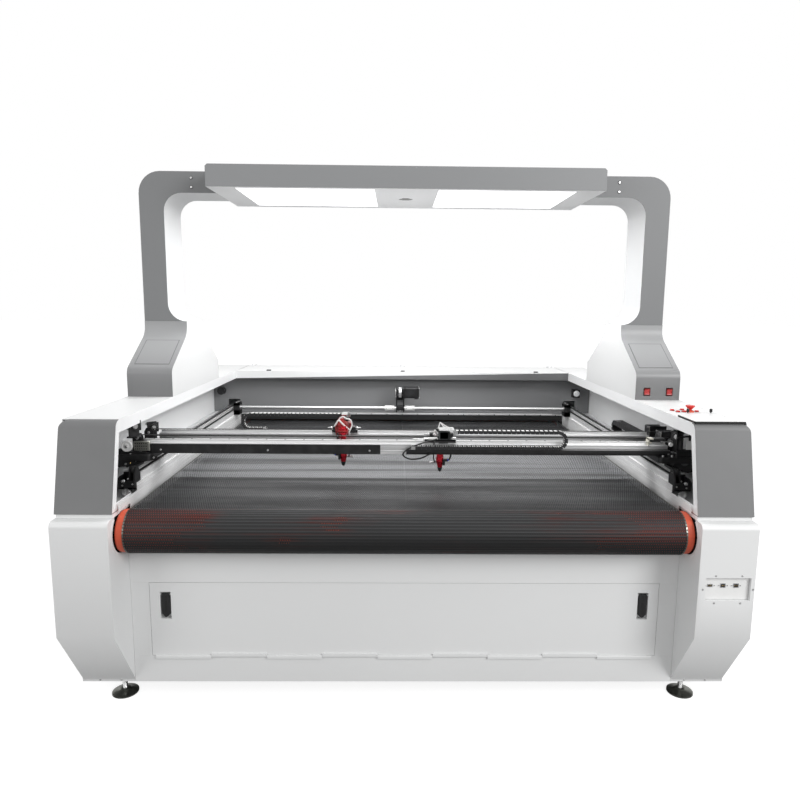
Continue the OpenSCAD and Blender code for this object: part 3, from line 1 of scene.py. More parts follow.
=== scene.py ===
"""Looks of a fabric laser cutting machine.

Laid out as an add-on and run as a script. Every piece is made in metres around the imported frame,
with X across the machine, Y from front to back and Z up.
"""
import json
import math
import sys

import bmesh
import bpy
from bpy.props import FloatProperty, FloatVectorProperty, PointerProperty
from mathutils import Matrix, Vector
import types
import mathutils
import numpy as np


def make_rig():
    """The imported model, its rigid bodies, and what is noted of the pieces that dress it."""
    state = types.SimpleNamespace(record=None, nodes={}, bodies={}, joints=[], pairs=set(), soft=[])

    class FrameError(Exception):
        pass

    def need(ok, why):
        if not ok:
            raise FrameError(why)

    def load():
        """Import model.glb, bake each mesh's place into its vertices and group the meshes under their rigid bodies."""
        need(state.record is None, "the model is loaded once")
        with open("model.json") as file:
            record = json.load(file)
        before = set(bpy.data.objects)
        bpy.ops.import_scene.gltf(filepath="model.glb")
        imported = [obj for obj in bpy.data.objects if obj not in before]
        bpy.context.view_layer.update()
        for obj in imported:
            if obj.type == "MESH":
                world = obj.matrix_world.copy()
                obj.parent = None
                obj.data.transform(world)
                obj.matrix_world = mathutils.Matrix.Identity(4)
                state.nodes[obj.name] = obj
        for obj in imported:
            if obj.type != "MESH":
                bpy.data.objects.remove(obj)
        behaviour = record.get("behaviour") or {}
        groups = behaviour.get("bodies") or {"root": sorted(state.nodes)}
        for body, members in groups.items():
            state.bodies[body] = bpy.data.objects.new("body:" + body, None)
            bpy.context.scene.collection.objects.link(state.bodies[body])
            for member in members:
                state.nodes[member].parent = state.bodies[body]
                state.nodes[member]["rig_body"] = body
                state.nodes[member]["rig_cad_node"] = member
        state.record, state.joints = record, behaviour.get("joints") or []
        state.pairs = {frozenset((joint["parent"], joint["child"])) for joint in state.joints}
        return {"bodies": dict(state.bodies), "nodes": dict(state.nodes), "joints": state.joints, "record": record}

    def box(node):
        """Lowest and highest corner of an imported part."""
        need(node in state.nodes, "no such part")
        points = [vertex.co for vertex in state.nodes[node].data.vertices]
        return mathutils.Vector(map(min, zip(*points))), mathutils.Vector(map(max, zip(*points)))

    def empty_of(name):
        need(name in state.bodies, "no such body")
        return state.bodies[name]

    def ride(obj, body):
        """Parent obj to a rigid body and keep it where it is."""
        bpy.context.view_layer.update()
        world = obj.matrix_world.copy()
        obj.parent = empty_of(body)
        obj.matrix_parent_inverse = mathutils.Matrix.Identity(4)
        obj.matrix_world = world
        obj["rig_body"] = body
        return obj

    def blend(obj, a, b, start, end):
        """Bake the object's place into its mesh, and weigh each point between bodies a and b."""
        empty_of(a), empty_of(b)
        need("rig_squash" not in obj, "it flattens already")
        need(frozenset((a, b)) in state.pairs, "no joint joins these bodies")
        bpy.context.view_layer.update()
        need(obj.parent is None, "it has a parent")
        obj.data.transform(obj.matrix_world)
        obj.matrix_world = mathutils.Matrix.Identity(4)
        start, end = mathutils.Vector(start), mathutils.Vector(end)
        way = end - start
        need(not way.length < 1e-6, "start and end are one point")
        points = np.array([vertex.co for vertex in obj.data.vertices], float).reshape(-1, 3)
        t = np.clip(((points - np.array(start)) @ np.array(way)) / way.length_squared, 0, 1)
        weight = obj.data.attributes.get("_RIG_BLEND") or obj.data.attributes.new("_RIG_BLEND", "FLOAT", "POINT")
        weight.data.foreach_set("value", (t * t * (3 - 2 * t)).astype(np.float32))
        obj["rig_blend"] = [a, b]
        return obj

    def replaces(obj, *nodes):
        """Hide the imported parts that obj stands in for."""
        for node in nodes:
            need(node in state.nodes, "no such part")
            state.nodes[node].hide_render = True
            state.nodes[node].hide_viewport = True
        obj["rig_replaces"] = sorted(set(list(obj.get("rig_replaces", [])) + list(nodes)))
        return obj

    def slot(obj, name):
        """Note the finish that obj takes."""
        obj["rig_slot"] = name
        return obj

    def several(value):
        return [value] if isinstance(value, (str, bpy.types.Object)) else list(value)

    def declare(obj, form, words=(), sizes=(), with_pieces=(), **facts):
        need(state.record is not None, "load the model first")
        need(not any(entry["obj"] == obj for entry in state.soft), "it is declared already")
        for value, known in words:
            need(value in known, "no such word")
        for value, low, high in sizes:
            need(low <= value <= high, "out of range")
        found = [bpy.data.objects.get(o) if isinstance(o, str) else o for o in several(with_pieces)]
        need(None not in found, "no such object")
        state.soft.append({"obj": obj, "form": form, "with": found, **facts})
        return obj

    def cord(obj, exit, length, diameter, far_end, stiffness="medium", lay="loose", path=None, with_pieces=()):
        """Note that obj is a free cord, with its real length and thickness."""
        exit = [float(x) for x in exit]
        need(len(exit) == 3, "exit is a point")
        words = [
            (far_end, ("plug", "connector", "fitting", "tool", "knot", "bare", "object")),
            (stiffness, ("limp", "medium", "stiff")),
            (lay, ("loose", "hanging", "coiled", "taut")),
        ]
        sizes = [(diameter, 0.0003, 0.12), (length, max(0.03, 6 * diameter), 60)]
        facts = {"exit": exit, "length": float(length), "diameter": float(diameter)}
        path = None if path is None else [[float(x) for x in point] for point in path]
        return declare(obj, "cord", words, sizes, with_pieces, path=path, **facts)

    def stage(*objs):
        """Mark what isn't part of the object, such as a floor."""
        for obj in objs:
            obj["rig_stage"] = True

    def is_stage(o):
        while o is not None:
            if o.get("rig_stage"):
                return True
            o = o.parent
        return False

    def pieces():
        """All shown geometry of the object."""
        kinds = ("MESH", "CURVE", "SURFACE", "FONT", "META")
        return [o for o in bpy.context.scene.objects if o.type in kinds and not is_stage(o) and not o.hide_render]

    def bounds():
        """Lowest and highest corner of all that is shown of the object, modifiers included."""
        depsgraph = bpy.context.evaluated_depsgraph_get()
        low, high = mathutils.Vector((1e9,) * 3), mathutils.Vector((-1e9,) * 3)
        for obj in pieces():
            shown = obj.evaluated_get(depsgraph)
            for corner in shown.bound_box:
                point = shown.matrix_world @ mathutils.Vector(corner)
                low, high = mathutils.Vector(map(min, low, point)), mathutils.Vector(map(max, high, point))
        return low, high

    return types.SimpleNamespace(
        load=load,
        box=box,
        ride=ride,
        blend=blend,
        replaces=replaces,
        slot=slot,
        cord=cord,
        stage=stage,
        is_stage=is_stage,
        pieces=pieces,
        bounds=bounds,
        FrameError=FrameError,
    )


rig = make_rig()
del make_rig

bl_info = {
    "name": "Fabric Laser Cutter",
    "version": (1, 0, 0),
    "blender": (4, 5, 0),
    "location": "View3D > Sidebar > Laser Cutter",
    "description": "Pieces and finishes of a fabric laser cutting machine",
    "category": "Object",
}

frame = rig.load()
CAD = frame["nodes"]
CAD_BOX = [list(corner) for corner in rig.bounds()]
FRONT = CAD_BOX[0][1]
MM = 0.001
# The conveyor belt, in millimetres: half its width, height of the roller axes, their radius and setbacks
BELT_HALF, BELT_AXIS, ROLLER = 842.0, 594.0, 65.0
ROLLER_AT = (95.0, 1788.0)
# Places along the belt's loop, in metres from the top of the front roller: the painted shadow line under the gantry's
# rear beam and the start of the front wrap
BELT_SEAM, FRONT_WRAP = 0.35, 3.598
# Beams of the gantry, in millimetres: their setbacks, the heads' setback, their heights and half length
FRONT_BEAM, REAR_BEAM, HEAD_LINE = 282.0, 442.0, 362.0
BEAM_LOW, BEAM_TOP, BEAM_HALF = 797.0, 831.0, 862.0
# Toothed belts, in millimetres: heights of the X and Y belts, the X pulleys' place, setbacks of the
# Y idlers and the drive shaft
X_BELT, Y_BELT, X_PULLEY = 836, 752, 892
Y_IDLER, SHAFT = 215, 1500


# ---------------------------------------------------------------- settings


def colour_property(name, words, value):
    return FloatVectorProperty(name=name, description=words, subtype="COLOR", size=3, min=0, max=1,
                               default=value)


def length_property(name, words, value):
    return FloatProperty(name=name, description=words, unit="LENGTH", min=0, default=value)


class LaserStageSettings(bpy.types.PropertyGroup):
    key_power: FloatProperty(name="Key lamp", description="Power of the large lamp on the right, in watts",
                             default=150)
    fill_power: FloatProperty(name="Fill lamp", description="Power of the lamp on the left, in watts",
                              default=34)
    top_power: FloatProperty(name="Top lamp", description="Power of the lamp overhead, in watts", default=34)
    panel_power: FloatProperty(name="Panel lamp", description="Power of the light under the arch", default=13)
    surround: FloatProperty(name="Surround", description="Strength of the light from all round", default=0.62)
    lens: FloatProperty(name="Lens", description="Focal length in millimetres", default=29.25)


class LaserFinishSettings(bpy.types.PropertyGroup):
    white_coat: colour_property("White coat", "Powder coat of the housings", (0.74, 0.745, 0.745))
    cover_grey: colour_property("Cover grey", "Moulded front covers", (0.168, 0.17, 0.172))
    arch_grey: colour_property("Arch grey", "Paint of the arch and the light box", (0.205, 0.209, 0.213))
    wall_grey: colour_property("Wall grey", "Paint of the partition", (0.2, 0.203, 0.207))
    roller_red: colour_property("Roller red", "Rubber of the rollers", (0.60, 0.085, 0.035))
    head_red: colour_property("Head red", "Anodised cutting heads", (0.56, 0.014, 0.03))
    mesh_grey: colour_property("Mesh grey", "Wire of the conveyor mesh", (0.07, 0.071, 0.073))
    stop_red: colour_property("Stop red", "Emergency stop, keys and rockers", (0.62, 0.02, 0.012))


class LaserDetailSettings(bpy.types.PropertyGroup):
    mesh_pitch: length_property("Mesh pitch", "Distance between the cross rods of the conveyor mesh", 0.010)
    weave_pitch: length_property("Weave pitch", "Distance between the wires of the conveyor mesh", 0.007)
    tooth_pitch: length_property("Tooth pitch", "Distance between the teeth of the toothed belts", 0.005)
    head_link: length_property("Head chain link", "Length of a link of the head chains", 0.015)
    rail_screw_pitch: length_property("Rail screw pitch", "Distance between the screws of the rails", 0.06)


# ---------------------------------------------------------------- shader expressions


class Shade:
    """A node's output that takes part in Python expressions; each expression adds its nodes."""

    def __init__(self, tree, made=None, out=0):
        self.tree, self.made, self.out = tree, made, out

    def node(self, kind, settings=None, sockets=None, out=0):
        """Add a node of a type: settings come first, then the values or links of its sockets."""
        made = self.tree.nodes.new(kind)
        for name, value in (settings or {}).items():
            setattr(made, name, value)
        return Shade(self.tree, made, out).feed(sockets or {})

    def feed(self, sockets):
        for name, value in sockets.items():
            socket = self.made.inputs[name]
            if isinstance(value, Shade):
                self.tree.links.new(value.made.outputs[value.out], socket)
            else:
                socket.default_value = value
        return self

    def maths(self, operation, *values):
        return self.node("ShaderNodeMath", {"operation": operation}, dict(enumerate(values)))

    def __add__(self, other):
        return self.maths("ADD", self, other)

    __radd__ = __add__

    def __sub__(self, other):
        return self.maths("SUBTRACT", self, other)

    def __rsub__(self, other):
        return self.maths("SUBTRACT", other, self)

    def __mul__(self, other):
        return self.maths("MULTIPLY", self, other)

    __rmul__ = __mul__

    def __truediv__(self, other):
        return self.maths("DIVIDE", self, other)

    def __gt__(self, other):
        return self.maths("GREATER_THAN", self, other)

    def __lt__(self, other):
        return self.maths("LESS_THAN", self, other)

    def clipped(self, low, high):
        """The value taken from low..high to 0..1."""
        return self.node("ShaderNodeMapRange", {"interpolation_type": "SMOOTHSTEP"},
                         {"Value": self, "From Min": low, "From Max": high})

    def between(self, first, second):
        """The mix of two colours by this value."""
        ends = [value if isinstance(value, Shade) else (*value, 1) for value in (first, second)]
        return self.node("ShaderNodeMix", {"data_type": "RGBA"}, {0: self, 6: ends[0], 7: ends[1]}, 2)


class Finish:
    """A material with one Principled shader, and the patterns that feed it."""

    def __init__(self, name, colour, rough, metal=0.0, **plain):
        self.material = bpy.data.materials.new(name)
        self.material.use_nodes = True
        self.tree = self.material.node_tree
        self.tree.nodes.clear()
        self.start = Shade(self.tree)
        self.colour, self.rough = colour, rough
        self.shader = self.start.node("ShaderNodeBsdfPrincipled", sockets={
            "Base Color": (*colour, 1), "Roughness": rough, "Metallic": metal, **plain})
        self.start.node("ShaderNodeOutputMaterial", sockets={"Surface": self.shader})
        self.material.diffuse_color = (*colour, 1)

    def points(self, scale, source):
        spots = self.start.node("ShaderNodeTexCoord")
        spots.out = source
        return self.start.node("ShaderNodeMapping", sockets={"Vector": spots, "Scale": scale})

    def noise(self, scale, detail, source="Object"):
        """Noise from 0 to 1, with its own number of grains a metre along each axis."""
        return self.start.node("ShaderNodeTexNoise", sockets={
            "Vector": self.points(scale, source), "Scale": 1.0, "Detail": detail, "Roughness": 0.55})

    def axis(self, index, source="Object"):
        spots = self.start.node("ShaderNodeTexCoord")
        spots.out = source
        return self.start.node("ShaderNodeSeparateXYZ", sockets={"Vector": spots}, out=index)

    def tone(self, mask, dark, light):
        """Colour that goes from dark to light times the finish's own colour."""
        ends = [[min(1, part * share) for part in self.colour] for share in (dark, light)]
        self.shader.feed({"Base Color": mask.between(*ends)})
        return self

    def stain(self, mask, colour):
        """Lay another colour over the base colour where the mask is high."""
        under = Shade(self.tree, self.shader.made.inputs["Base Color"].links[0].from_node, 2)
        self.shader.feed({"Base Color": mask.between(under, colour)})
        return self

    def polish(self, mask, spread):
        self.shader.feed({"Roughness": mask * spread + (self.rough - spread / 2)})
        return self

    def relief(self, height, distance, strength):
        bump = self.start.node("ShaderNodeBump", sockets={
            "Height": height, "Distance": distance, "Strength": strength})
        self.shader.feed({"Normal": bump})
        return self


def powder_coat(name, colour, rough=0.42):
    """Sprayed coat: fine orange peel, faint clouding and a little dust near the floor."""
    coat = Finish(name, colour, rough)
    peel = coat.noise((420, 420, 420), 2)
    cloud = coat.noise((2.2, 2.2, 2.2), 3)
    dust = 1 - coat.axis(2).clipped(0.02, 0.22)
    coat.tone(cloud * 0.75 + (1 - dust * 0.6) * 0.25, 0.965, 1.02)
    coat.polish(cloud * 0.6 + peel * 0.4, 0.12)
    return coat.relief(peel, 0.00006, 0.5)


def shaded_wall(name, colour, low, high, shares):
    """Sprayed coat with painted light and shade: its tone changes evenly between two heights."""
    coat = powder_coat(name, colour, 0.4)
    return coat.tone(coat.axis(2).clipped(low, high), *shares)


def moulded(name, colour, rough, grain=900, depth=0.00008):
    """Moulded plastic with a fine spark-eroded grain."""
    part = Finish(name, colour, rough)
    spark = part.noise((grain,) * 3, 1)
    cloud = part.noise((9, 9, 9), 2)
    part.tone(cloud, 0.94, 1.06)
    part.polish(spark, 0.16)
    return part.relief(spark, depth, 0.6)


def brushed(name, colour, along, rough, depth=0.00004, metal=1.0):
    """Metal drawn or ground along one axis, with streaks and a few rubbed places."""
    part = Finish(name, colour, rough, metal)
    fine = [1400, 1400, 1400]
    wide = [60, 60, 60]
    fine[along], wide[along] = 6, 1.5
    streaks = part.noise(tuple(fine), 2)
    bands = part.noise(tuple(wide), 2)
    part.tone(bands * 0.6 + streaks * 0.4, 0.78, 1.18)
    part.polish(bands * 0.4 + streaks * 0.6, 0.22)
    return part.relief(streaks, depth, 0.5)


def cast_black(name, colour, rough=0.42):
    """Black anodised or painted plate, rubbed a little greyer in places."""
    part = Finish(name, colour, rough, 0.2)
    rub = part.noise((38, 38, 38), 4)
    grain = part.noise((700, 700, 700), 1)
    part.tone(rub.clipped(0.35, 0.8), 0.8, 2.2)
    part.polish(rub, 0.25)
    return part.relief(grain, 0.00005, 0.5)


def anodised(name, colour, rough=0.26):
    """Turned and dyed aluminium: rings of the tool under a glossy dye."""
    part = Finish(name, colour, rough, 0.85, **{"Coat Weight": 0.35, "Coat Roughness": 0.12})
    rings = part.noise((90, 90, 1500), 2)
    part.tone(rings, 0.75, 1.35)
    part.polish(rings, 0.14)
    return part.relief(rings, 0.00004, 0.5)


def rubber(name, colour, rough):
    """Ground rubber with scuffs across it."""
    part = Finish(name, colour, rough)
    scuff = part.noise((7, 90, 90), 4)
    pores = part.noise((600, 600, 600), 2)
    part.tone(scuff, 0.82, 1.16)
    part.polish(scuff, 0.2)
    return part.relief(pores, 0.0001, 0.5)


def wire_mesh(name, colour, rod_pitch, wire_pitch):
    """Woven wire mesh: open between rods and slanted wires, with soft bands that are partly wear and partly painted
    sheen. Painted light and shade lie on it too: a painted pool of light behind the gantry, a painted shadow line
    under the gantry's rear beam, painted shade towards the front, darker painted shade on the front roller's wrap and
    its underside, and painted glints on the wires there.
    """
    part = Finish(name, colour, 0.42, 0.55)
    across, along = part.axis(0, "UV"), part.axis(1, "UV")
    row = along / rod_pitch
    place = row.maths("FRACT", row)
    way = (row * 0.5).maths("FRACT", row * 0.5) > 0.5
    slant = place * (way * 2 - 1)
    wire = across / wire_pitch + slant * 0.5
    wire = wire.maths("FRACT", wire)
    wire = wire.maths("ABSOLUTE", wire - 0.5)
    rod = place.maths("ABSOLUTE", place - 0.5)
    solid = (wire < 0.33).maths("MAXIMUM", wire < 0.33, rod > 0.30)
    wrapped = (along > FRONT_WRAP) * 1.0
    off_centre = across - BELT_HALF * MM
    to_end = off_centre.maths("ABSOLUTE", off_centre).clipped(0.5, 0.83)
    patch = (part.noise((3.4, 9, 1), 3, "UV") + to_end * 0.42).clipped(0.46, 0.72)
    closed = (rod > 0.15).maths("MAXIMUM", rod > 0.15, patch < 0.8)
    rows = closed.maths("MAXIMUM", closed, wire < 0.36)
    solid = solid * (1 - wrapped) + rows * wrapped
    bands = part.noise((0.35, 9, 1), 3, "UV")
    blotch = part.noise((3, 22, 1), 4, "UV")
    # Broad bands along the belt: partly wear, partly painted sheen of the wavy mesh.
    worn = (bands * 0.7 + blotch * 0.3).clipped(0.34, 0.68)
    # Painted light: a brighter stretch of the top run under the light box.
    rubbed = along.clipped(BELT_SEAM + 0.01, BELT_SEAM + 0.025) * (1 - along.clipped(0.70, 0.80))
    # Painted shade: the front of the top run is darker.
    sooty = 1 - along.clipped(0.10, 0.30)
    # Painted shadow: a dark line across the belt under the gantry's rear beam.
    seam = 1 - along.maths("ABSOLUTE", along - BELT_SEAM).clipped(0.006, 0.034)
    # Painted shade: the underside of the front roller's wrap is darker still.
    low = 1 - along.clipped(FRONT_WRAP + 0.062, FRONT_WRAP + 0.142)
    # Tone of the top run: wear, painted sheen and the painted light band, dimmed by the painted shadow line and the
    # painted front shade.
    shine = worn * 0.36 + 0.12 + rubbed * (0.25 + bands.clipped(0.38, 0.62))
    shine = shine * (1 - seam * 0.85) * (1 - sooty * 0.3)
    # Painted highlights: light glints on the wires over the roller.
    dots = (wire > 0.3) * (rod > 0.36) * (1 - low) * 0.2
    # Painted shade: the mesh on the roller's wrap is much darker than the top run.
    in_shade = (worn * 0.05 + 0.008) * (1 - low * 0.8) + dots
    part.tone(shine * (1 - wrapped) + wrapped * in_shade, 0.24, 4.0)
    streak = part.noise((1.5, 210, 1), 2, "UV").clipped(0.47, 0.58)
    # The red roller showing through the open mesh, dimmed by painted shade towards the underside.
    part.stain(wrapped * patch * streak * (1 - low * 0.8), (0.075, 0.014, 0.01))
    part.polish(worn * (1 - wrapped * 2.4), -0.2)
    part.shader.feed({"Alpha": solid})
    return part.relief(rod.maths("MAXIMUM", rod, 0.5 - wire), 0.0006, 0.7)


def glowing(name, colour, strength):
    """Diffuser of a lit panel, a little dimmer towards its rows of tubes."""
    part = Finish(name, colour, 0.5)
    rows = part.noise((3, 14, 1), 1)
    part.shader.feed({"Emission Color": rows.between((0.97, 0.98, 1.0), (1.0, 1.0, 1.0)),
                      "Emission Strength": strength})
    return part


def clear_glass(name, colour, rough=0.05):
    """Blown glass with slight streaks."""
    part = Finish(name, colour, rough, **{"Transmission Weight": 0.9, "IOR": 1.46})
    streak = part.noise((3, 60, 60), 2)
    part.tone(streak, 0.94, 1.05)
    part.polish(streak, 0.04)
    return part.relief(streak, 0.00003, 0.3)


FINISH = {}


def make_finishes(colours, detail):
    """Every finish of the machine, by the name that the pieces ask for."""
    made = {
        "white": powder_coat("white_powder_coat", colours.white_coat),
        "cover": moulded("cover_grey_moulded", colours.cover_grey, 0.55),
        "arch": powder_coat("arch_grey_paint", colours.arch_grey, 0.5),
        "pale_inside": powder_coat("arch_pale_inside", (0.62, 0.625, 0.63), 0.5),
        # Painted light: the sloped tops of the grey covers take a lighter copy of the cover grey, brightening towards
        # the top, for the light that falls on them from above.
        "slope": shaded_wall("pedestal_slope_grey_painted_light", (0.27, 0.273, 0.277), 0.945, 1.14, (0.6, 1.25)),
        "box": powder_coat("light_box_grey", (0.265, 0.27, 0.275), 0.5),
        # The liner faces are real, but their white is brighter than the housing coat: the extra brightness is painted
        # light from the panel.
        "liner": powder_coat("liner_white_painted_light", (0.9, 0.905, 0.91), 0.3),
        "guard": brushed("polished_guard_sheet", (0.93, 0.93, 0.935), 1, 0.26, 0.00002, 0.12),
        # Painted shade: the partition grows darker towards its top, for the shade that falls there.
        "wall": shaded_wall("partition_grey_painted_shade", colours.wall_grey, 0.76, 0.93, (0.92, 0.62)),
        "frame": powder_coat("frame_dark_paint", (0.05, 0.052, 0.055), 0.5),
        "rail_x": brushed("beam_aluminium", (0.8, 0.8, 0.805), 0, 0.34),
        "rail_y": brushed("side_beam_aluminium", (0.86, 0.86, 0.865), 1, 0.3, metal=0.3),
        "ground_x": brushed("ground_steel_x", (0.92, 0.92, 0.92), 0, 0.3, 0.00002),
        "ground_y": brushed("ground_steel_y", (0.92, 0.92, 0.92), 1, 0.3, 0.00002),
        "steel": brushed("turned_steel", (0.6, 0.6, 0.6), 2, 0.28),
        "zinc": brushed("zinc_plate", (0.42, 0.42, 0.38), 0, 0.36),
        "foot": brushed("foot_zinc_plate", (0.2, 0.205, 0.185), 2, 0.3),
        "black": cast_black("black_anodised_plate", (0.009, 0.009, 0.0095)),
        "motor": cast_black("motor_black_coat", (0.012, 0.012, 0.013), 0.35),
        "plastic": moulded("black_moulded_plastic", (0.014, 0.014, 0.015), 0.38, 1200),
        "pale": moulded("pale_moulded_plastic", (0.62, 0.62, 0.61), 0.35, 1200),
        "cream": moulded("cream_painted_clamp", (0.62, 0.6, 0.52), 0.45),
        "red": anodised("red_anodised_head", colours.head_red),
        # A darker copy of the head red, used for the left carriage.
        "dull_red": anodised("darker_red_anodised", (0.36, 0.04, 0.04)),
        "button": moulded("red_button_plastic", colours.stop_red, 0.24, 500, 0.00002),
        "rocker": moulded("red_rocker_plastic", (0.4, 0.02, 0.02), 0.3, 500, 0.00002),
        "bezel": moulded("dark_red_bezel", (0.12, 0.008, 0.006), 0.3, 900),
        "panel": moulded("white_control_plate", (0.78, 0.78, 0.775), 0.3, 1200, 0.00003),
        "roller": rubber("orange_red_roller_rubber", colours.roller_red, 0.5),
        "belt": rubber("toothed_belt_rubber", (0.012, 0.012, 0.012), 0.55),
        "hose": rubber("black_hose_rubber", (0.01, 0.01, 0.01), 0.4),
        "air": moulded("white_air_hose", (0.7, 0.7, 0.69), 0.3, 600),
        "blue": moulded("blue_fitting_ring", (0.02, 0.05, 0.42), 0.3, 900),
        "brass": brushed("brass_fitting", (0.62, 0.42, 0.16), 2, 0.25),
        "glow": glowing("lit_diffuser", (0.9, 0.9, 0.9), 1.15),
        "underside": powder_coat("light_box_underside", (0.8, 0.805, 0.81), 0.45),
        "lens": clear_glass("lens_glass", (0.25, 0.28, 0.34), 0.02),
        "tube_glass": clear_glass("laser_tube_glass", (0.86, 0.9, 0.9)),
        "mesh": wire_mesh("conveyor_wire_mesh", colours.mesh_grey, detail.mesh_pitch, detail.weave_pitch),
    }
    FINISH.update({name: finish.material for name, finish in made.items()})


# ---------------------------------------------------------------- building pieces


def facing(axis, spot=(0, 0, 0), turn=0.0):
    """A matrix whose own Z points along an axis, set at a spot and turned about that axis."""
    direction = {"x": (1, 0, 0), "y": (0, 1, 0), "z": (0, 0, 1)}.get(axis, axis)
    swing = Vector((0, 0, 1)).rotation_difference(Vector(direction)).to_matrix().to_4x4()
    return Matrix.Translation(spot) @ swing @ Matrix.Rotation(turn, 4, "Z")


def inset(outline, width):
    """A closed outline moved inwards by a width, with its corners kept."""
    count = len(outline)
    area = sum(outline[i - 1][0] * outline[i][1] - outline[i][0] * outline[i - 1][1] for i in range(count))
    side = 1 if area > 0 else -1
    moved = []
    for i in range(count):
        before, here, after = (Vector(outline[(i + step) % count]) for step in (-1, 0, 1))
        first, second = (here - before).normalized(), (after - here).normalized()
        lean = (Vector((-first.y, first.x)) + Vector((-second.y, second.x))) * side
        share = max(0.3, 1 + first.dot(second))
        moved.append(here + lean * (width / share))
    return moved


def rounded(width, height, radius, steps=4):
    """Outline of a rectangle round the origin with rounded corners."""
    points = []
    for turn, (sx, sy) in enumerate(((1, 1), (-1, 1), (-1, -1), (1, -1))):
        for step in range(steps + 1):
            angle = math.radians(90 * (turn + step / steps))
            points.append(Vector((sx * (width / 2 - radius) + radius * math.cos(angle),
                                  sy * (height / 2 - radius) + radius * math.sin(angle))))
    return points


def circle(radius, steps, start=0.0):
    return [Vector((radius * math.cos(start + math.tau * i / steps),
                    radius * math.sin(start + math.tau * i / steps)))
            for i in range(steps)]


def along(spots, bend, steps=6):
    """A path through spots with its corners rounded."""
    spots = [Vector(spot) for spot in spots]
    path = [spots[0]]
    for before, here, after in zip(spots, spots[1:], spots[2:]):
        reach = min(bend, (before - here).length * 0.48, (after - here).length * 0.48)
        first = here.lerp(before, reach / (before - here).length)
        last = here.lerp(after, reach / (after - here).length)
        for step in range(steps + 1):
            share = step / steps
            path.append(first.lerp(here, share).lerp(here.lerp(last, share), share))
    return path + [spots[-1]]


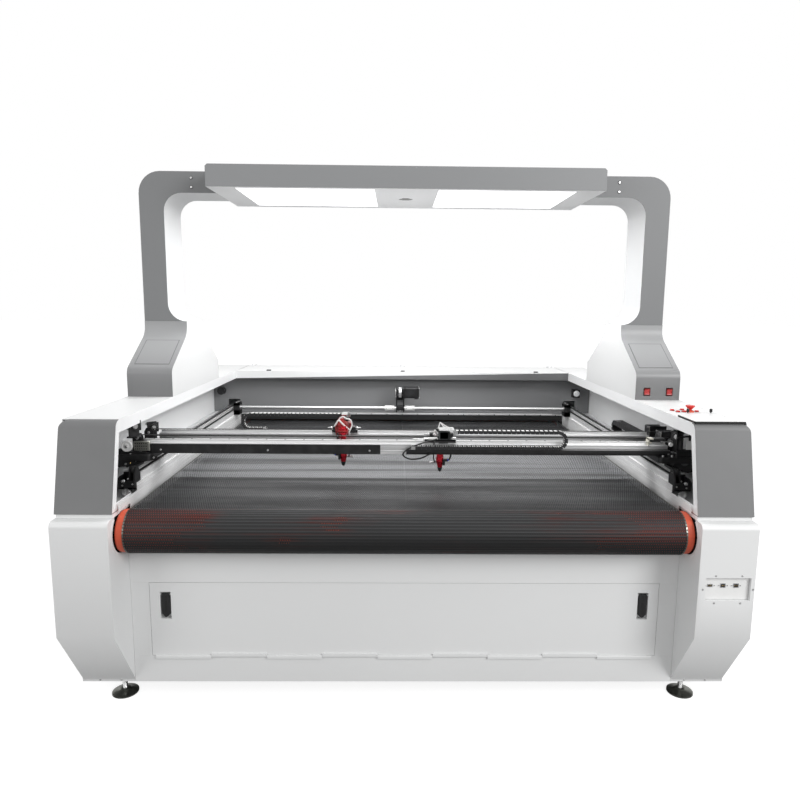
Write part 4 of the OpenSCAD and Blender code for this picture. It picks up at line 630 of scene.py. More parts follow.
class Build:
    """One piece, put together from bars, plates, turned parts and tubes.

    Lengths are in millimetres and Y runs back from the front of the machine.
    """

    def __init__(self, name, finish):
        self.name, self.mesh, self.slots = name, bmesh.new(), []
        self.home = Matrix.Scale(MM, 4) @ Matrix.Translation((0, FRONT / MM, 0))
        self.frame = self.home
        self.use(finish)

    def use(self, finish):
        """Give what is added next this finish."""
        if finish not in self.slots:
            self.slots.append(finish)
        self.slot = self.slots.index(finish)
        return self

    def at(self, matrix=None):
        """Add what comes next in this matrix's own axes."""
        self.frame = self.home @ (matrix or Matrix.Identity(4))
        return self

    def to(self, x, y, z=0, way="z", turn=0.0):
        """Add what comes next with its own Z along a way, from a spot."""
        return self.at(facing(way, (x, y, z), turn))

    def face(self, corners):
        made = self.mesh.faces.new(corners)
        made.material_index = self.slot
        return made

    def rings(self, rings, loop=False):
        """Skin a row of rings that have the same number of points."""
        rows = [[self.mesh.verts.new(self.frame @ Vector(point)) for point in ring] for ring in rings]
        pairs = list(zip(rows, rows[1:])) + ([(rows[-1], rows[0])] if loop else [])
        for low, high in pairs:
            for i in range(len(low)):
                self.face((low[i - 1], low[i], high[i], high[i - 1]))
        if not loop:
            self.face(rows[0][::-1])
            self.face(rows[-1])
        return self

    def plate(self, outline, low, high, chamfer=0.8):
        """A plate of any outline between two heights, with chamfered rims."""
        chamfer = min(chamfer, (high - low) * 0.3)
        tight = inset(outline, chamfer)
        levels = ((tight, low), (outline, low + chamfer), (outline, high - chamfer), (tight, high))
        return self.rings([[(x, y, z) for x, y in ring] for ring, z in levels])

    def bar(self, low, high, chamfer, radius=0.0):
        """A box between two corners with chamfered or rounded edges."""
        low, high = Vector(low), Vector(high)
        size, middle = high - low, (high + low) / 2
        chamfer = min(chamfer, min(size) * 0.3)
        outline = [point + middle.xy
                   for point in rounded(size.x, size.y, max(radius, chamfer), 4 if radius else 1)]
        return self.plate(outline, low.z, high.z, chamfer)

    def turned(self, profile, steps, loop=False):
        """A body of revolution about the own Z from (radius, height) points."""
        return self.rings([[(x, y, height) for x, y in circle(max(radius, 0.01), steps)]
                           for radius, height in profile], loop)

    def pin(self, radius, low, high, chamfer=0.8, steps=24):
        """A round bar with chamfered ends."""
        chamfer = min(chamfer, (high - low) * 0.3, radius * 0.5)
        return self.turned([(radius - chamfer, low), (radius, low + chamfer), (radius, high - chamfer),
                            (radius - chamfer, high)], steps)

    def tube(self, outer, inner, low, high, chamfer=0.6, steps=32):
        """A ring or sleeve with chamfered rims."""
        chamfer = min(chamfer, (high - low) * 0.3, (outer - inner) * 0.3)
        return self.turned([(inner, low), (outer - chamfer, low), (outer, low + chamfer),
                            (outer, high - chamfer), (outer - chamfer, high), (inner, high)], steps, True)

    def gear(self, outer, depth, teeth, low, high):
        """A toothed wheel."""
        outline = []
        for tooth in range(teeth):
            for share, radius in ((0.05, outer - depth), (0.3, outer - depth), (0.42, outer), (0.88, outer)):
                angle = math.tau * (tooth + share) / teeth
                outline.append(Vector((radius * math.cos(angle), radius * math.sin(angle))))
        return self.plate(outline, low, high, 0.2)

    def swept(self, path, radius, sides=10):
        """A round tube that follows a path."""
        path = [Vector(point) for point in path]
        rings, aside = [], None
        for i, point in enumerate(path):
            ahead = (path[min(i + 1, len(path) - 1)] - path[max(i - 1, 0)]).normalized()
            if aside is None:
                aside = ahead.orthogonal().normalized()
            aside = (aside - ahead * aside.dot(ahead)).normalized()
            up = ahead.cross(aside)
            rings.append([point + aside * x + up * y for x, y in circle(radius, sides)])
        return self.rings(rings)

    def screw(self, spot, way="z", radius=4.2, height=3.5):
        """A socket head screw standing on a face, its head pointing a given way."""
        kept = self.frame
        self.frame = kept @ facing(way, spot)
        self.turned([(radius, 0), (radius, height * 0.85), (radius * 0.9, height), (radius * 0.52, height),
                     (radius * 0.5, height * 0.4)], 16)
        self.frame = kept
        return self

    def nut(self, spot, radius, height):
        """A hexagon nut on a washer."""
        kept = self.frame
        self.frame = kept @ facing("z", spot)
        self.pin(radius * 1.25, 0, height * 0.2, 0.2)
        self.turned([(radius, height * 0.2), (radius, height * 0.9), (radius * 0.88, height)], 6)
        self.pin(radius * 0.5, height * 0.9, height * 1.3, 0.4, 12)
        self.frame = kept
        return self

    def finish(self, body, replaces=(), slot="", keep_sides=False):
        """Make the object, let it ride a body and stand in for CAD nodes."""
        if not keep_sides:
            bmesh.ops.recalc_face_normals(self.mesh, faces=self.mesh.faces)
        for face in self.mesh.faces:
            face.smooth = True
        for edge in self.mesh.edges:
            edge.smooth = len(edge.link_faces) != 2 or edge.calc_face_angle(0) < math.radians(38)
        data = bpy.data.meshes.new(self.name)
        self.mesh.to_mesh(data)
        self.mesh.free()
        for name in self.slots:
            data.materials.append(FINISH[name])
        made = bpy.data.objects.new(self.name, data)
        bpy.context.scene.collection.objects.link(made)
        settle = made.modifiers.new("Weighted normals", "WEIGHTED_NORMAL")
        settle.keep_sharp = True
        if body:
            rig.ride(made, body)
        if replaces:
            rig.replaces(made, *replaces)
        if slot:
            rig.slot(made, slot)
        return made


def corners(node):
    """Low and high corner of a CAD node's box, in millimetres, Y running back from the front."""
    low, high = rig.box(node)
    shift = Vector((0, FRONT, 0))
    return (Vector(low) - shift) / MM, (Vector(high) - shift) / MM


def dress(node, finish, bevel):
    """Give a CAD node a finish, clean long facets and soften its edges."""
    item = CAD[node]
    item.data.materials.clear()
    item.data.materials.append(FINISH[finish])
    weld = item.modifiers.new("Weld", "WELD")
    weld.merge_threshold = 0.00002
    flat = item.modifiers.new("Flat faces", "DECIMATE")
    flat.decimate_type, flat.angle_limit = "DISSOLVE", math.radians(0.6)
    if bevel:
        round_off = item.modifiers.new("Edges", "BEVEL")
        round_off.width, round_off.segments = bevel, 2
        round_off.limit_method, round_off.angle_limit = "ANGLE", math.radians(40)
        round_off.use_clamp_overlap = True
        settle = item.modifiers.new("Weighted normals", "WEIGHTED_NORMAL")
        settle.keep_sharp = True
    for face in item.data.polygons:
        face.use_smooth = bool(bevel)


# ---------------------------------------------------------------- conveyor


class LASER_OT_conveyor(bpy.types.Operator):
    """Woven wire mesh belt, rubber rollers, bearings and the wiper over the belt"""
    bl_idname = "laser.conveyor"
    bl_label = "Conveyor"

    def execute(self, context):
        self.belt(context.scene.laser_detail)
        for name, at in (("front_roller", ROLLER_AT[0]), ("rear_roller", ROLLER_AT[1])):
            self.roller(name, at)
        self.bearings()
        self.wiper()
        return {"FINISHED"}

    def loop_point(self, distance, radius):
        """Setback, height and outward direction on the belt's loop."""
        straight, turn = ROLLER_AT[1] - ROLLER_AT[0], math.pi * radius
        distance %= 2 * (straight + turn)
        if distance < straight:
            return ROLLER_AT[0] + distance, BELT_AXIS + radius, 0.0, 1.0
        distance -= straight
        if distance < turn:
            angle = distance / radius
            return ROLLER_AT[1] + radius * math.sin(angle), BELT_AXIS + radius * math.cos(angle), \
                math.sin(angle), math.cos(angle)
        distance -= turn
        if distance < straight:
            return ROLLER_AT[1] - distance, BELT_AXIS - radius, 0.0, -1.0
        angle = (distance - straight) / radius
        return ROLLER_AT[0] - radius * math.sin(angle), BELT_AXIS - radius * math.cos(angle), \
            -math.sin(angle), -math.cos(angle)

    def belt(self, detail):
        radius = ROLLER + 1.6
        length = 2 * (ROLLER_AT[1] - ROLLER_AT[0] + math.pi * radius)
        rods = int(length / (detail.mesh_pitch / MM))
        pitch = length / rods
        build = Build("wire_mesh_belt", "mesh")
        uv = build.mesh.loops.layers.uv.new("weave")
        columns = 26
        rows = []
        for step in range(rods * 4 + 1):
            distance = step * pitch / 4
            ridge = (0.0, 0.55, 1.0, 0.55)[step % 4]
            row = []
            for column in range(columns + 1):
                x = BELT_HALF * (2 * column / columns - 1)
                wander = math.sin(distance / 31 + 2.1 * math.sin(x / 260))
                ripple = 0.35 * wander * math.sin(x / 170 + distance / 400)
                setback, height, out_y, out_z = self.loop_point(distance, radius)
                lift = ridge + max(ripple, -0.3)
                spot = Vector((x, setback + out_y * lift, height + out_z * lift))
                row.append(build.mesh.verts.new(build.frame @ spot))
            rows.append(row)
        for step in range(rods * 4):
            for column in range(columns):
                face = build.face((rows[step][column], rows[step][column + 1],
                                   rows[step + 1][column + 1], rows[step + 1][column]))
                for loop, (across, on) in zip(face.loops, ((0, 0), (1, 0), (1, 1), (0, 1))):
                    loop[uv].uv = (BELT_HALF * MM * 2 * (column + across) / columns,
                                   (step + on) * pitch / 4 * MM)
        bmesh.ops.remove_doubles(build.mesh, verts=rows[0] + rows[-1], dist=0.00002)
        build.finish("machine", ["mesh_belt"], "belt_mesh", keep_sides=True)
        edge = Build("mesh_edge_links", "foot")
        for side in (-1, 1):
            for rod in range(rods):
                setback, height, out_y, out_z = self.loop_point((rod + 0.5) * pitch, radius + 1)
                edge.to(side * (BELT_HALF - 2.5), setback, height, (0, out_y, out_z))
                link = ((-2, -pitch * 0.4), (2.5, -pitch * 0.3), (2.5, pitch * 0.3), (-2, pitch * 0.4))
                edge.rings([[(x * side, y, z) for x, y in link] for z in (-1.2, 1.0)])
        edge.finish("machine", slot="belt_mesh")

    def roller(self, name, at):
        build = Build(name + "_rubber", "roller").to(0, at, BELT_AXIS, "x")
        end = BELT_HALF + 25
        profile = [(56, -end), (61.5, -end + 1.2), (64, -end + 4), (ROLLER, -end + 9)]
        profile += [(ROLLER, x) for x in range(-780, 781, 60)]
        profile += [(ROLLER, end - 9), (64, end - 4), (61.5, end - 1.2), (56, end)]
        build.turned(profile, 72)
        for side in (-1, 1):
            build.to(side * end, at, BELT_AXIS, (side, 0, 0)).use("steel")
            build.turned([(57, -1), (57, 0.6), (40, 1.4), (22, 1.4), (20, 3), (12.6, 3)], 48)
            build.pin(12.4, 0, 935 - end, 1.2, 32)
            build.bar((-3.5, 11.6, 935 - end - 40), (3.5, 13.6, 935 - end - 12), 0.4)
        build.finish(name, [name], "orange_rubber")

    def bearings(self):
        build = Build("roller_bearing_blocks", "frame")
        for side in (-1, 1):
            for at in ROLLER_AT:
                build.to(side * 903, at, BELT_AXIS, (side, 0, 0)).use("frame")
                build.plate(rounded(76, 76, 16), 0, 9, 1.2)
                build.use("black").turned([(31, 8), (30, 15), (27, 19), (21, 20), (21, 12), (12.8, 12)], 40)
                build.use("steel").tube(20.5, 12.7, 12, 23, 0.8)
                for x, y in ((26, 26), (-26, 26), (-26, -26), (26, -26)):
                    build.nut((x, y, 9), radius=6, height=5)
                build.use("brass").to(side * 915, at, BELT_AXIS + 29,
                                      (side * 0.6, 0, 0.8)).pin(2.6, 0, 8, 0.5, 10)
        build.use("white").at()
        for side in (-1, 1):
            for at in ROLLER_AT:
                build.rings([[(side * x, at + radius * math.cos(turn), BELT_AXIS + radius * math.sin(turn))
                              for x, radius in ((870, 67), (870, 74), (868.8, 74), (868.8, 67))]
                             for turn in (math.radians(134 + 9 * step) for step in range(31))])
        build.finish("machine", ["roller_bearings"], "steel")

    def wiper(self):
        build = Build("belt_wiper_strip", "rail_x")
        build.bar((-856, 1597, 700), (856, 1605.5, 707), 0.8)
        build.use("hose").bar((-856, 1600, 673), (856, 1603, 701), 0.8)
        for x in range(-820, 821, 82):
            build.use("black").screw((x, 1597, 703.5), (0, -1, 0), 2.6, 1.6)
        build.finish("machine", slot="black_plastic")


# ---------------------------------------------------------------- cable chains


class LASER_OT_chains(bpy.types.Operator):
    """Three cable chains that roll along as the gantry and the heads travel"""
    bl_idname = "laser.chains"
    bl_label = "Cable chains"

    def execute(self, context):
        pitch = context.scene.laser_detail.head_link / MM
        self.chain("right_head_chain", (0, 247, 850), "x", (20, 493, 157), 26, 11, 22, pitch,
                   ("gantry", "right_head"))
        self.chain("left_head_chain", (0, 477, 864), "x", (-500, -555, -202), 26, 11, 22, pitch,
                   ("gantry", "left_head"))
        self.chain("gantry_chain", (966, 0, 744.3), "y", (780, 1040, 372), 22, 20, 40, pitch * 1.6,
                   ("machine", "gantry"), "plastic")
        return {"FINISHED"}

    def chain(self, name, centre, way, spots, radius, height, width, pitch, bodies, bridge="pale"):
        """Lower run from the fixed end, a half ring, and an upper run to the moving end."""
        fixed, bend, head = spots
        turn = 1 if bend > fixed else -1
        ahead = Vector((1, 0, 0)) if way == "x" else Vector((0, 1, 0))
        across = Vector((0, 1, 0)) if way == "x" else Vector((1, 0, 0))
        up = Vector((0, 0, 1))
        centre = Vector(centre)

        def link_frame(along_it, over, direction, outward):
            spot = centre + ahead * along_it + up * over
            side = outward.cross(direction)
            matrix = Matrix((direction, side, outward)).transposed().to_4x4()
            return Matrix.Translation(spot) @ matrix

        def links(build, frames, share):
            for matrix in frames:
                build.at(matrix).use("plastic")
                reach = pitch * share / 2
                for side in (-1, 1):
                    outer, inner = side * width / 2, side * (width / 2 - 2.2)
                    build.bar((-reach + 0.4, min(outer, inner), -height / 2),
                              (reach - 0.4, max(outer, inner), height / 2), 0.5)
                build.bar((-reach * 0.35, -width / 2 + 2, -height / 2),
                          (reach * 0.35, width / 2 - 2, -height / 2 + 1.6), 0.3)
                # The pale crossbars are painted highlights: they stand in for the glints on the chain's black
                # crossbars.
                build.use(bridge)
                for level in (height / 2 - 1.4, -height / 2 + 0.1):
                    build.bar((-reach * 0.62, -width / 2 + 0.4, level),
                              (reach * 0.62, width / 2 - 0.4, level + 1.3), 0.3)
            build.use("hose").at()

        lower, upper = abs(bend - fixed), abs(bend - head)
        runs = []
        for part, length, level in (("lower", lower, -radius), ("upper", upper, radius)):
            count = max(1, round(length / pitch))
            share = length / count / pitch
            start = fixed if part == "lower" else head
            frames = [link_frame(start + turn * (i + 0.5) * pitch * share, level, ahead,
                                 up if level > 0 else -up)
                      for i in range(count)]
            build = Build(f"{name}_{part}", "plastic")
            links(build, frames, share)
            for offset in (-0.22, 0.2):
                first = centre + ahead * start + up * level + across * width * offset
                last = centre + ahead * bend + up * level + across * width * offset
                build.at().swept([first, first.lerp(last, 0.5), last], height * 0.22, 8)
            self.bracket(build, centre + ahead * start + up * level, ahead * turn, up, height, width)
            runs.append((build, part, length))
        arc = math.pi * radius
        count = max(4, round(arc / pitch))
        frames = []
        for i in range(count):
            angle = math.pi * (i + 0.5) / count
            outward = ahead * turn * math.sin(angle) - up * math.cos(angle)
            direction = ahead * turn * math.cos(angle) + up * math.sin(angle)
            frames.append(link_frame(bend + turn * radius * math.sin(angle), -radius * math.cos(angle),
                                     direction, outward))
        ring = Build(f"{name}_bend", "plastic")
        links(ring, frames, arc / count / pitch)
        for offset in (-0.22, 0.2):
            path = [centre + ahead * (bend + turn * radius * math.sin(math.pi * i / 12))
                    - up * radius * math.cos(math.pi * i / 12) + across * width * offset for i in range(13)]
            ring.at().swept(path, height * 0.22, 8)

        def world(along_it, aside=0.0):
            spot = centre + ahead * along_it + across * aside
            return (spot.x * MM, spot.y * MM + FRONT, spot.z * MM)

        for build, part, length in runs:
            made = build.finish("", [name] if part == "lower" else (), "black_plastic")
            if part == "lower":
                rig.blend(made, *bodies, world(fixed), world(fixed + turn * 2 * length))
            else:
                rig.blend(made, *bodies, world(head + turn * 2 * length), world(head))
        made = ring.finish("", slot="black_plastic")
        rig.blend(made, *bodies, world(bend, -900000), world(bend, 900000))

    def bracket(self, build, spot, ahead, up, height, width):
        """Steel end fitting that holds the last link."""
        side = up.cross(ahead)
        build.at(Matrix.Translation(spot) @ Matrix((ahead, side, up)).transposed().to_4x4()).use("steel")
        build.bar((-4, -width / 2 - 0.6, -height / 2), (9, width / 2 + 0.6, -height / 2 + 1.6), 0.3)
        for y in (-width / 2 - 0.8, width / 2 - 0.6):
            build.bar((-4, y, -height / 2), (9, y + 1.4, height / 2 - 1), 0.3)
        build.use("black").screw((2.5, -width * 0.2, -height / 2 + 1.6), radius=2, height=1.4)
        build.screw((2.5, width * 0.2, -height / 2 + 1.6), radius=2, height=1.4)


# ---------------------------------------------------------------- gantry


def mirrored(points):
    """A closed outline from its right half, listed from the bottom to the top."""
    return [(x, y) for x, y in points] + [(x, -y) for x, y in reversed(points)]


def linear_rail(build, low, high, pitch, width=14.0, height=10.0):
    """Ground guide rail along the own Z, standing up along the own -X, with its counterbored screws."""
    half = width / 2
    side = [(0, half), (-height * 0.34, half), (-height * 0.48, half - 1.3), (-height * 0.64, half - 1.3),
            (-height * 0.8, half), (-height * 0.94, half), (-height, half - 0.6)]
    build.rings([[(x, y, z) for x, y in mirrored(side)] for z in (low, high)])
    count = int((high - low) / pitch)
    for i in range(count):
        spot = low + (high - low) * (i + 0.5) / count
        kept, slot = build.frame, build.slot
        build.frame = kept @ facing((-1, 0, 0), (-height, 0, spot))
        build.use("hose").turned([(width * 0.26, -0.1), (width * 0.26, 0.06), (width * 0.16, 0.06)], 12)
        build.frame, build.slot = kept, slot


class LASER_OT_gantry(bpy.types.Operator):
    """Slotted beams with ground rails, end plates, covers, trays, motors and mirror mounts"""
    bl_idname = "laser.gantry"
    bl_label = "Gantry"

    def execute(self, context):
        pitch = context.scene.laser_detail.rail_screw_pitch / MM
        for node, at in (("gantry_front_beam", FRONT_BEAM), ("gantry_rear_beam", REAR_BEAM)):
            self.beam(node, at, pitch)
        self.end_plates()
        self.covers()
        self.motors()
        return {"FINISHED"}

    def beam(self, node, at, pitch):
        side = [(0, 19.4), (-0.6, 20), (-3.4, 20), (-4, 19.3), (-4.6, 20), (-10.8, 20), (-11.4, 19.2),
                (-11.4, 15), (-17.6, 15), (-17.6, 19.2), (-18.2, 20), (-24.4, 20), (-25, 19.3), (-25.6, 20),
                (-33.2, 20), (-34, 19.2), (-34, 12), (-33.2, 11.4), (-33.2, 9.4), (-34, 8.8)]
        build = Build(node + "_profile", "rail_x").to(0, at, BEAM_LOW, "x")
        build.rings([[(x, y, z) for x, y in mirrored(side)] for z in (-BEAM_HALF, BEAM_HALF)])
        for way in (-1, 1):
            build.use("black").to(way * (BEAM_HALF - 1.6), at, BEAM_LOW, "x")
            build.bar((-33, -19, -1.5), (-1, 19, 1.5), 0.5)
        build.use("ground_x").to(0, at, BEAM_TOP, "x")
        linear_rail(build, -BEAM_HALF + 4, BEAM_HALF - 4, pitch)
        build.finish("gantry", [node], "aluminium")

    def end_plates(self):
        build = Build("gantry_end_plate_set", "black")
        for side in (-1, 1):
            build.to(side * 887.5, HEAD_LINE, 777).plate(rounded(125, 256, 12), 0, 20, 1.4)
            for x in (-44, -14, 46):
                for y in (-112, -82, 0, 82, 112):
                    build.use("steel").screw((x * side, y, 20), radius=4.6, height=4)
            build.use("black")
            for at in (FRONT_BEAM, REAR_BEAM):
                build.to(side * 895, at, 747).bar((-19, -30, 3), (19, 30, 30), 1.2)
                build.use("plastic")
                for end in (-1, 1):
                    build.bar((-18, min(end * 30, end * 33), 4), (18, max(end * 30, end * 33), 27), 0.8)
                build.use("brass").to(side * 895, at - 34, 768, (0, -1, 0)).pin(2.4, 0, 6, 0.6, 10)
                build.use("black")
            build.at().bar((side * 870.5 - 7.5, HEAD_LINE - 20, 759),
                           (side * 870.5 + 6, HEAD_LINE + 20, 777.5), 0.8)
            build.use("steel")
            for y in (-12, 12):
                build.screw((side * 861, HEAD_LINE + y, 768), (-side, 0, 0), 3, 3)
            build.use("black")
        build.bar((950, 342, 776.3), (986, 382, 796), 1)
        build.finish("gantry", ["gantry_end_plates"], "black_metal")

    def covers(self):
        build = Build("gantry_covers_and_brackets", "black")
        front, tray = FRONT_BEAM - 20, 818.5
        build.plate([(-BEAM_HALF, front - 2), (-85, front - 2), (-85, front - 0.1),
                     (-BEAM_HALF, front - 0.1)], BEAM_LOW, BEAM_TOP - 3, 0.7)
        # Painted highlight: a light aluminium strip along the top of the black front cover stands in for the glint on
        # its top edge.
        build.use("rail_x").bar((-BEAM_HALF, front - 2, BEAM_TOP - 2.8), (-85, front - 0.1, BEAM_TOP), 0.4)
        build.use("black").bar((0, front - 26, tray - 2), (BEAM_HALF, front, tray), 0.6)
        build.bar((0, front - 26, tray - 9), (BEAM_HALF, front - 24.4, tray), 0.5)
        build.bar((0, front - 2, BEAM_LOW), (BEAM_HALF, front, tray), 0.6)
        rear = REAR_BEAM + 20
        build.bar((-BEAM_HALF, rear, BEAM_TOP - 2.5), (-460, rear + 26, BEAM_TOP), 0.6)
        build.bar((-BEAM_HALF, rear, BEAM_LOW), (-460, rear + 2, BEAM_TOP), 0.6)
        for x in (-800, -452, -120, 40, 300, 560, 820):
            build.use("steel").screw((x, front - 2, BEAM_LOW + 12), (0, -1, 0), 3.2, 2)
        self.forks(build)
        self.tensioner(build)
        for spot, turn, low in (((-890, 274, 903), 45, 846), ((-902, 462, 862), 45, 797),
                                ((902, 278, 878), -45, 797)):
            self.mirror(build, spot, turn, low)
        self.right_end(build)
        build.finish("gantry", ["gantry_brackets"], "black_metal")

    def forks(self, build):
        """Forks of the belt idlers at the left ends of the beams."""
        for at in (306, 409):
            for y in (at - 3.2, at + 9.2):
                build.use("black").to(-X_PULLEY, y + 3, BEAM_LOW, (0, -1, 0))
                build.plate([(-16, 0), (16, 0), (16, 43), (9, 55), (-9, 55), (-16, 43)], 0, 3, 0.5)
            build.use("steel").to(-X_PULLEY, at - 3.2, X_BELT, (0, -1, 0)).pin(4.5, 0, 3, 0.5, 12)

    def tensioner(self, build):
        """White guide wheel and ribbed block at the left end of the front beam."""
        build.use("air").to(-905, 254, 822, (0, -1, 0))
        build.turned([(17, 0), (18.5, 1.2), (18.5, 7), (17, 8.5), (13.5, 8.5), (12.8, 7.2), (8, 7.2),
                      (7, 8.6)], 36)
        build.use("steel").pin(4.6, 6, 12, 0.8, 16)
        build.use("zinc").at().bar((-884, 250, 806), (-832, 259, 838), 1.6, 3)
        for x in range(-878, -836, 7):
            for z in (813, 822, 831):
                build.use("hose").screw((x, 250, z), (0, -1, 0), 1.9, 0.5)
        build.use("black").to(-886, 250, 778, (0, -1, 0))
        build.plate([(-50, 22), (-30, 27), (40, 27), (78, 12), (78, 2), (40, -6), (-6, -22), (-50, -26)],
                    0, 5, 0.8)
        for x, y in ((-40, 12), (-24, -14), (-8, 18), (10, -2), (30, 14), (52, 6), (68, 8)):
            build.use("steel").screw((x, y, 5), radius=3.4, height=2.6)
        build.use("black").at().bar((-934, 250, 797), (-922, 300, 812), 1)

    def mirror(self, build, spot, turn, low):
        """Adjustable mirror: foot, fixed plate, sprung plate and mirror cell."""
        x, y, z = spot
        home = Matrix.Translation((x, y, 0)) @ Matrix.Rotation(math.radians(turn), 4, "Z")
        build.use("black").at(Matrix.Translation((x, y, low))).bar((-18, -16, 0), (18, 16, 5), 1)
        build.at(home).bar((-17, -3, low + 4), (17, 2, z + 2), 0.8)
        build.bar((-20, -12, z - 34), (20, -8, z), 0.8)
        for x, z_off in ((-14, -6), (14, -6), (-14, -28)):
            build.use("steel").at(home @ facing("y", (x, -8, z + z_off))).pin(2.6, 0, 8, 0.3, 10)
            build.pin(5, 8, 18, 0.8, 14).pin(1.8, 18, 24, 0.3, 8)
        build.use("black").at(home @ facing((0, -1, 0), (0, -12, z - 18)))
        build.turned([(14, 0), (14, 6), (12.6, 7.4), (9, 7.4), (8.4, 4)], 32)
        build.use("steel").pin(8.2, 0, 4.4, 0.2, 32)

    def right_end(self, build):
        """Tall mirror plate with a window, the belt motor's plate and the cable guide on the right."""
        build.use("black").to(905, 246, 778, (0, -1, 0))
        build.plate([(-30, -8), (-22, 24), (-22, 40), (22, 40), (44, 24), (44, -30), (20, -34), (-8, -26)],
                    0, 5, 1)
        build.use("frame").to(912, 240, 782, (0, -1, 0)).turned([(14, 0), (14, 2), (12.5, 3), (4, 3)], 32)
        build.use("air").at().bar((918, 250, 820), (938, 253, 858), 0.8)
        build.use("black")
        for low, high in (((884, 247, 812), (892, 252, 884)), ((884, 247, 876), (930, 252, 886)),
                          ((884, 247, 812), (934, 252, 820)), ((924, 247, 850), (931, 252, 884))):
            build.bar(low, high, 0.8)
        build.use("steel").at().swept(along([(826, 246, 812), (862, 244, 816), (900, 244, 806),
                                             (936, 246, 792)], 30), 2.4)
        build.use("hose").swept(along([(884, 243, 860), (918, 240, 868), (944, 246, 856), (948, 262, 800)],
                                      24), 3)
        build.use("cream").at()
        for low, high in (((797, 262, 826), (801, 286, 856)), ((797, 262, 850), (814, 286, 855)),
                          ((797, 262, 838), (808, 286, 842))):
            build.bar(low, high, 0.6)
        build.use("plastic").bar((806, 268, 841), (856, 296, 853), 1.4)
        build.use("steel").bar((838, 262, 843), (866, 265, 846), 0.4)
        build.use("air").to(868, 258, 836, (0, -1, 0)).pin(7, 0, 7, 1.2, 20)

    def motors(self):
        build = Build("x_motor_pair", "motor")
        for at in (318, 421):
            build.use("black").at().bar((862, at - 1, BEAM_LOW), (922, at + 4, 866), 1)
            build.use("zinc").to(X_PULLEY, at + 4, X_BELT, "y").plate(rounded(56, 56, 4), 0, 7, 0.8)
            build.use("motor").plate(rounded(52, 52, 7), 7, 38, 0.6)
            build.use("black").plate(rounded(53, 53, 5), 38, 52, 1.2)
            for x in (-23.5, 23.5):
                for y in (-23.5, 23.5):
                    build.use("steel").screw((x, y, 52), radius=2.8, height=2)
            build.use("steel").to(X_PULLEY, at - 1, X_BELT, (0, -1, 0)).pin(4, 0, 12, 0.5, 16)
            build.use("plastic").at().bar((880, at + 40, 808), (904, at + 56, 820), 1)
            build.use("hose").swept(along([(892, at + 52, 812), (905, at + 66, 806), (930, at + 60, 799),
                                           (944, 400, 798)], 14), 3.2)
        build.finish("gantry", ["x_motors"], "black_metal")


# ---------------------------------------------------------------- cutting heads


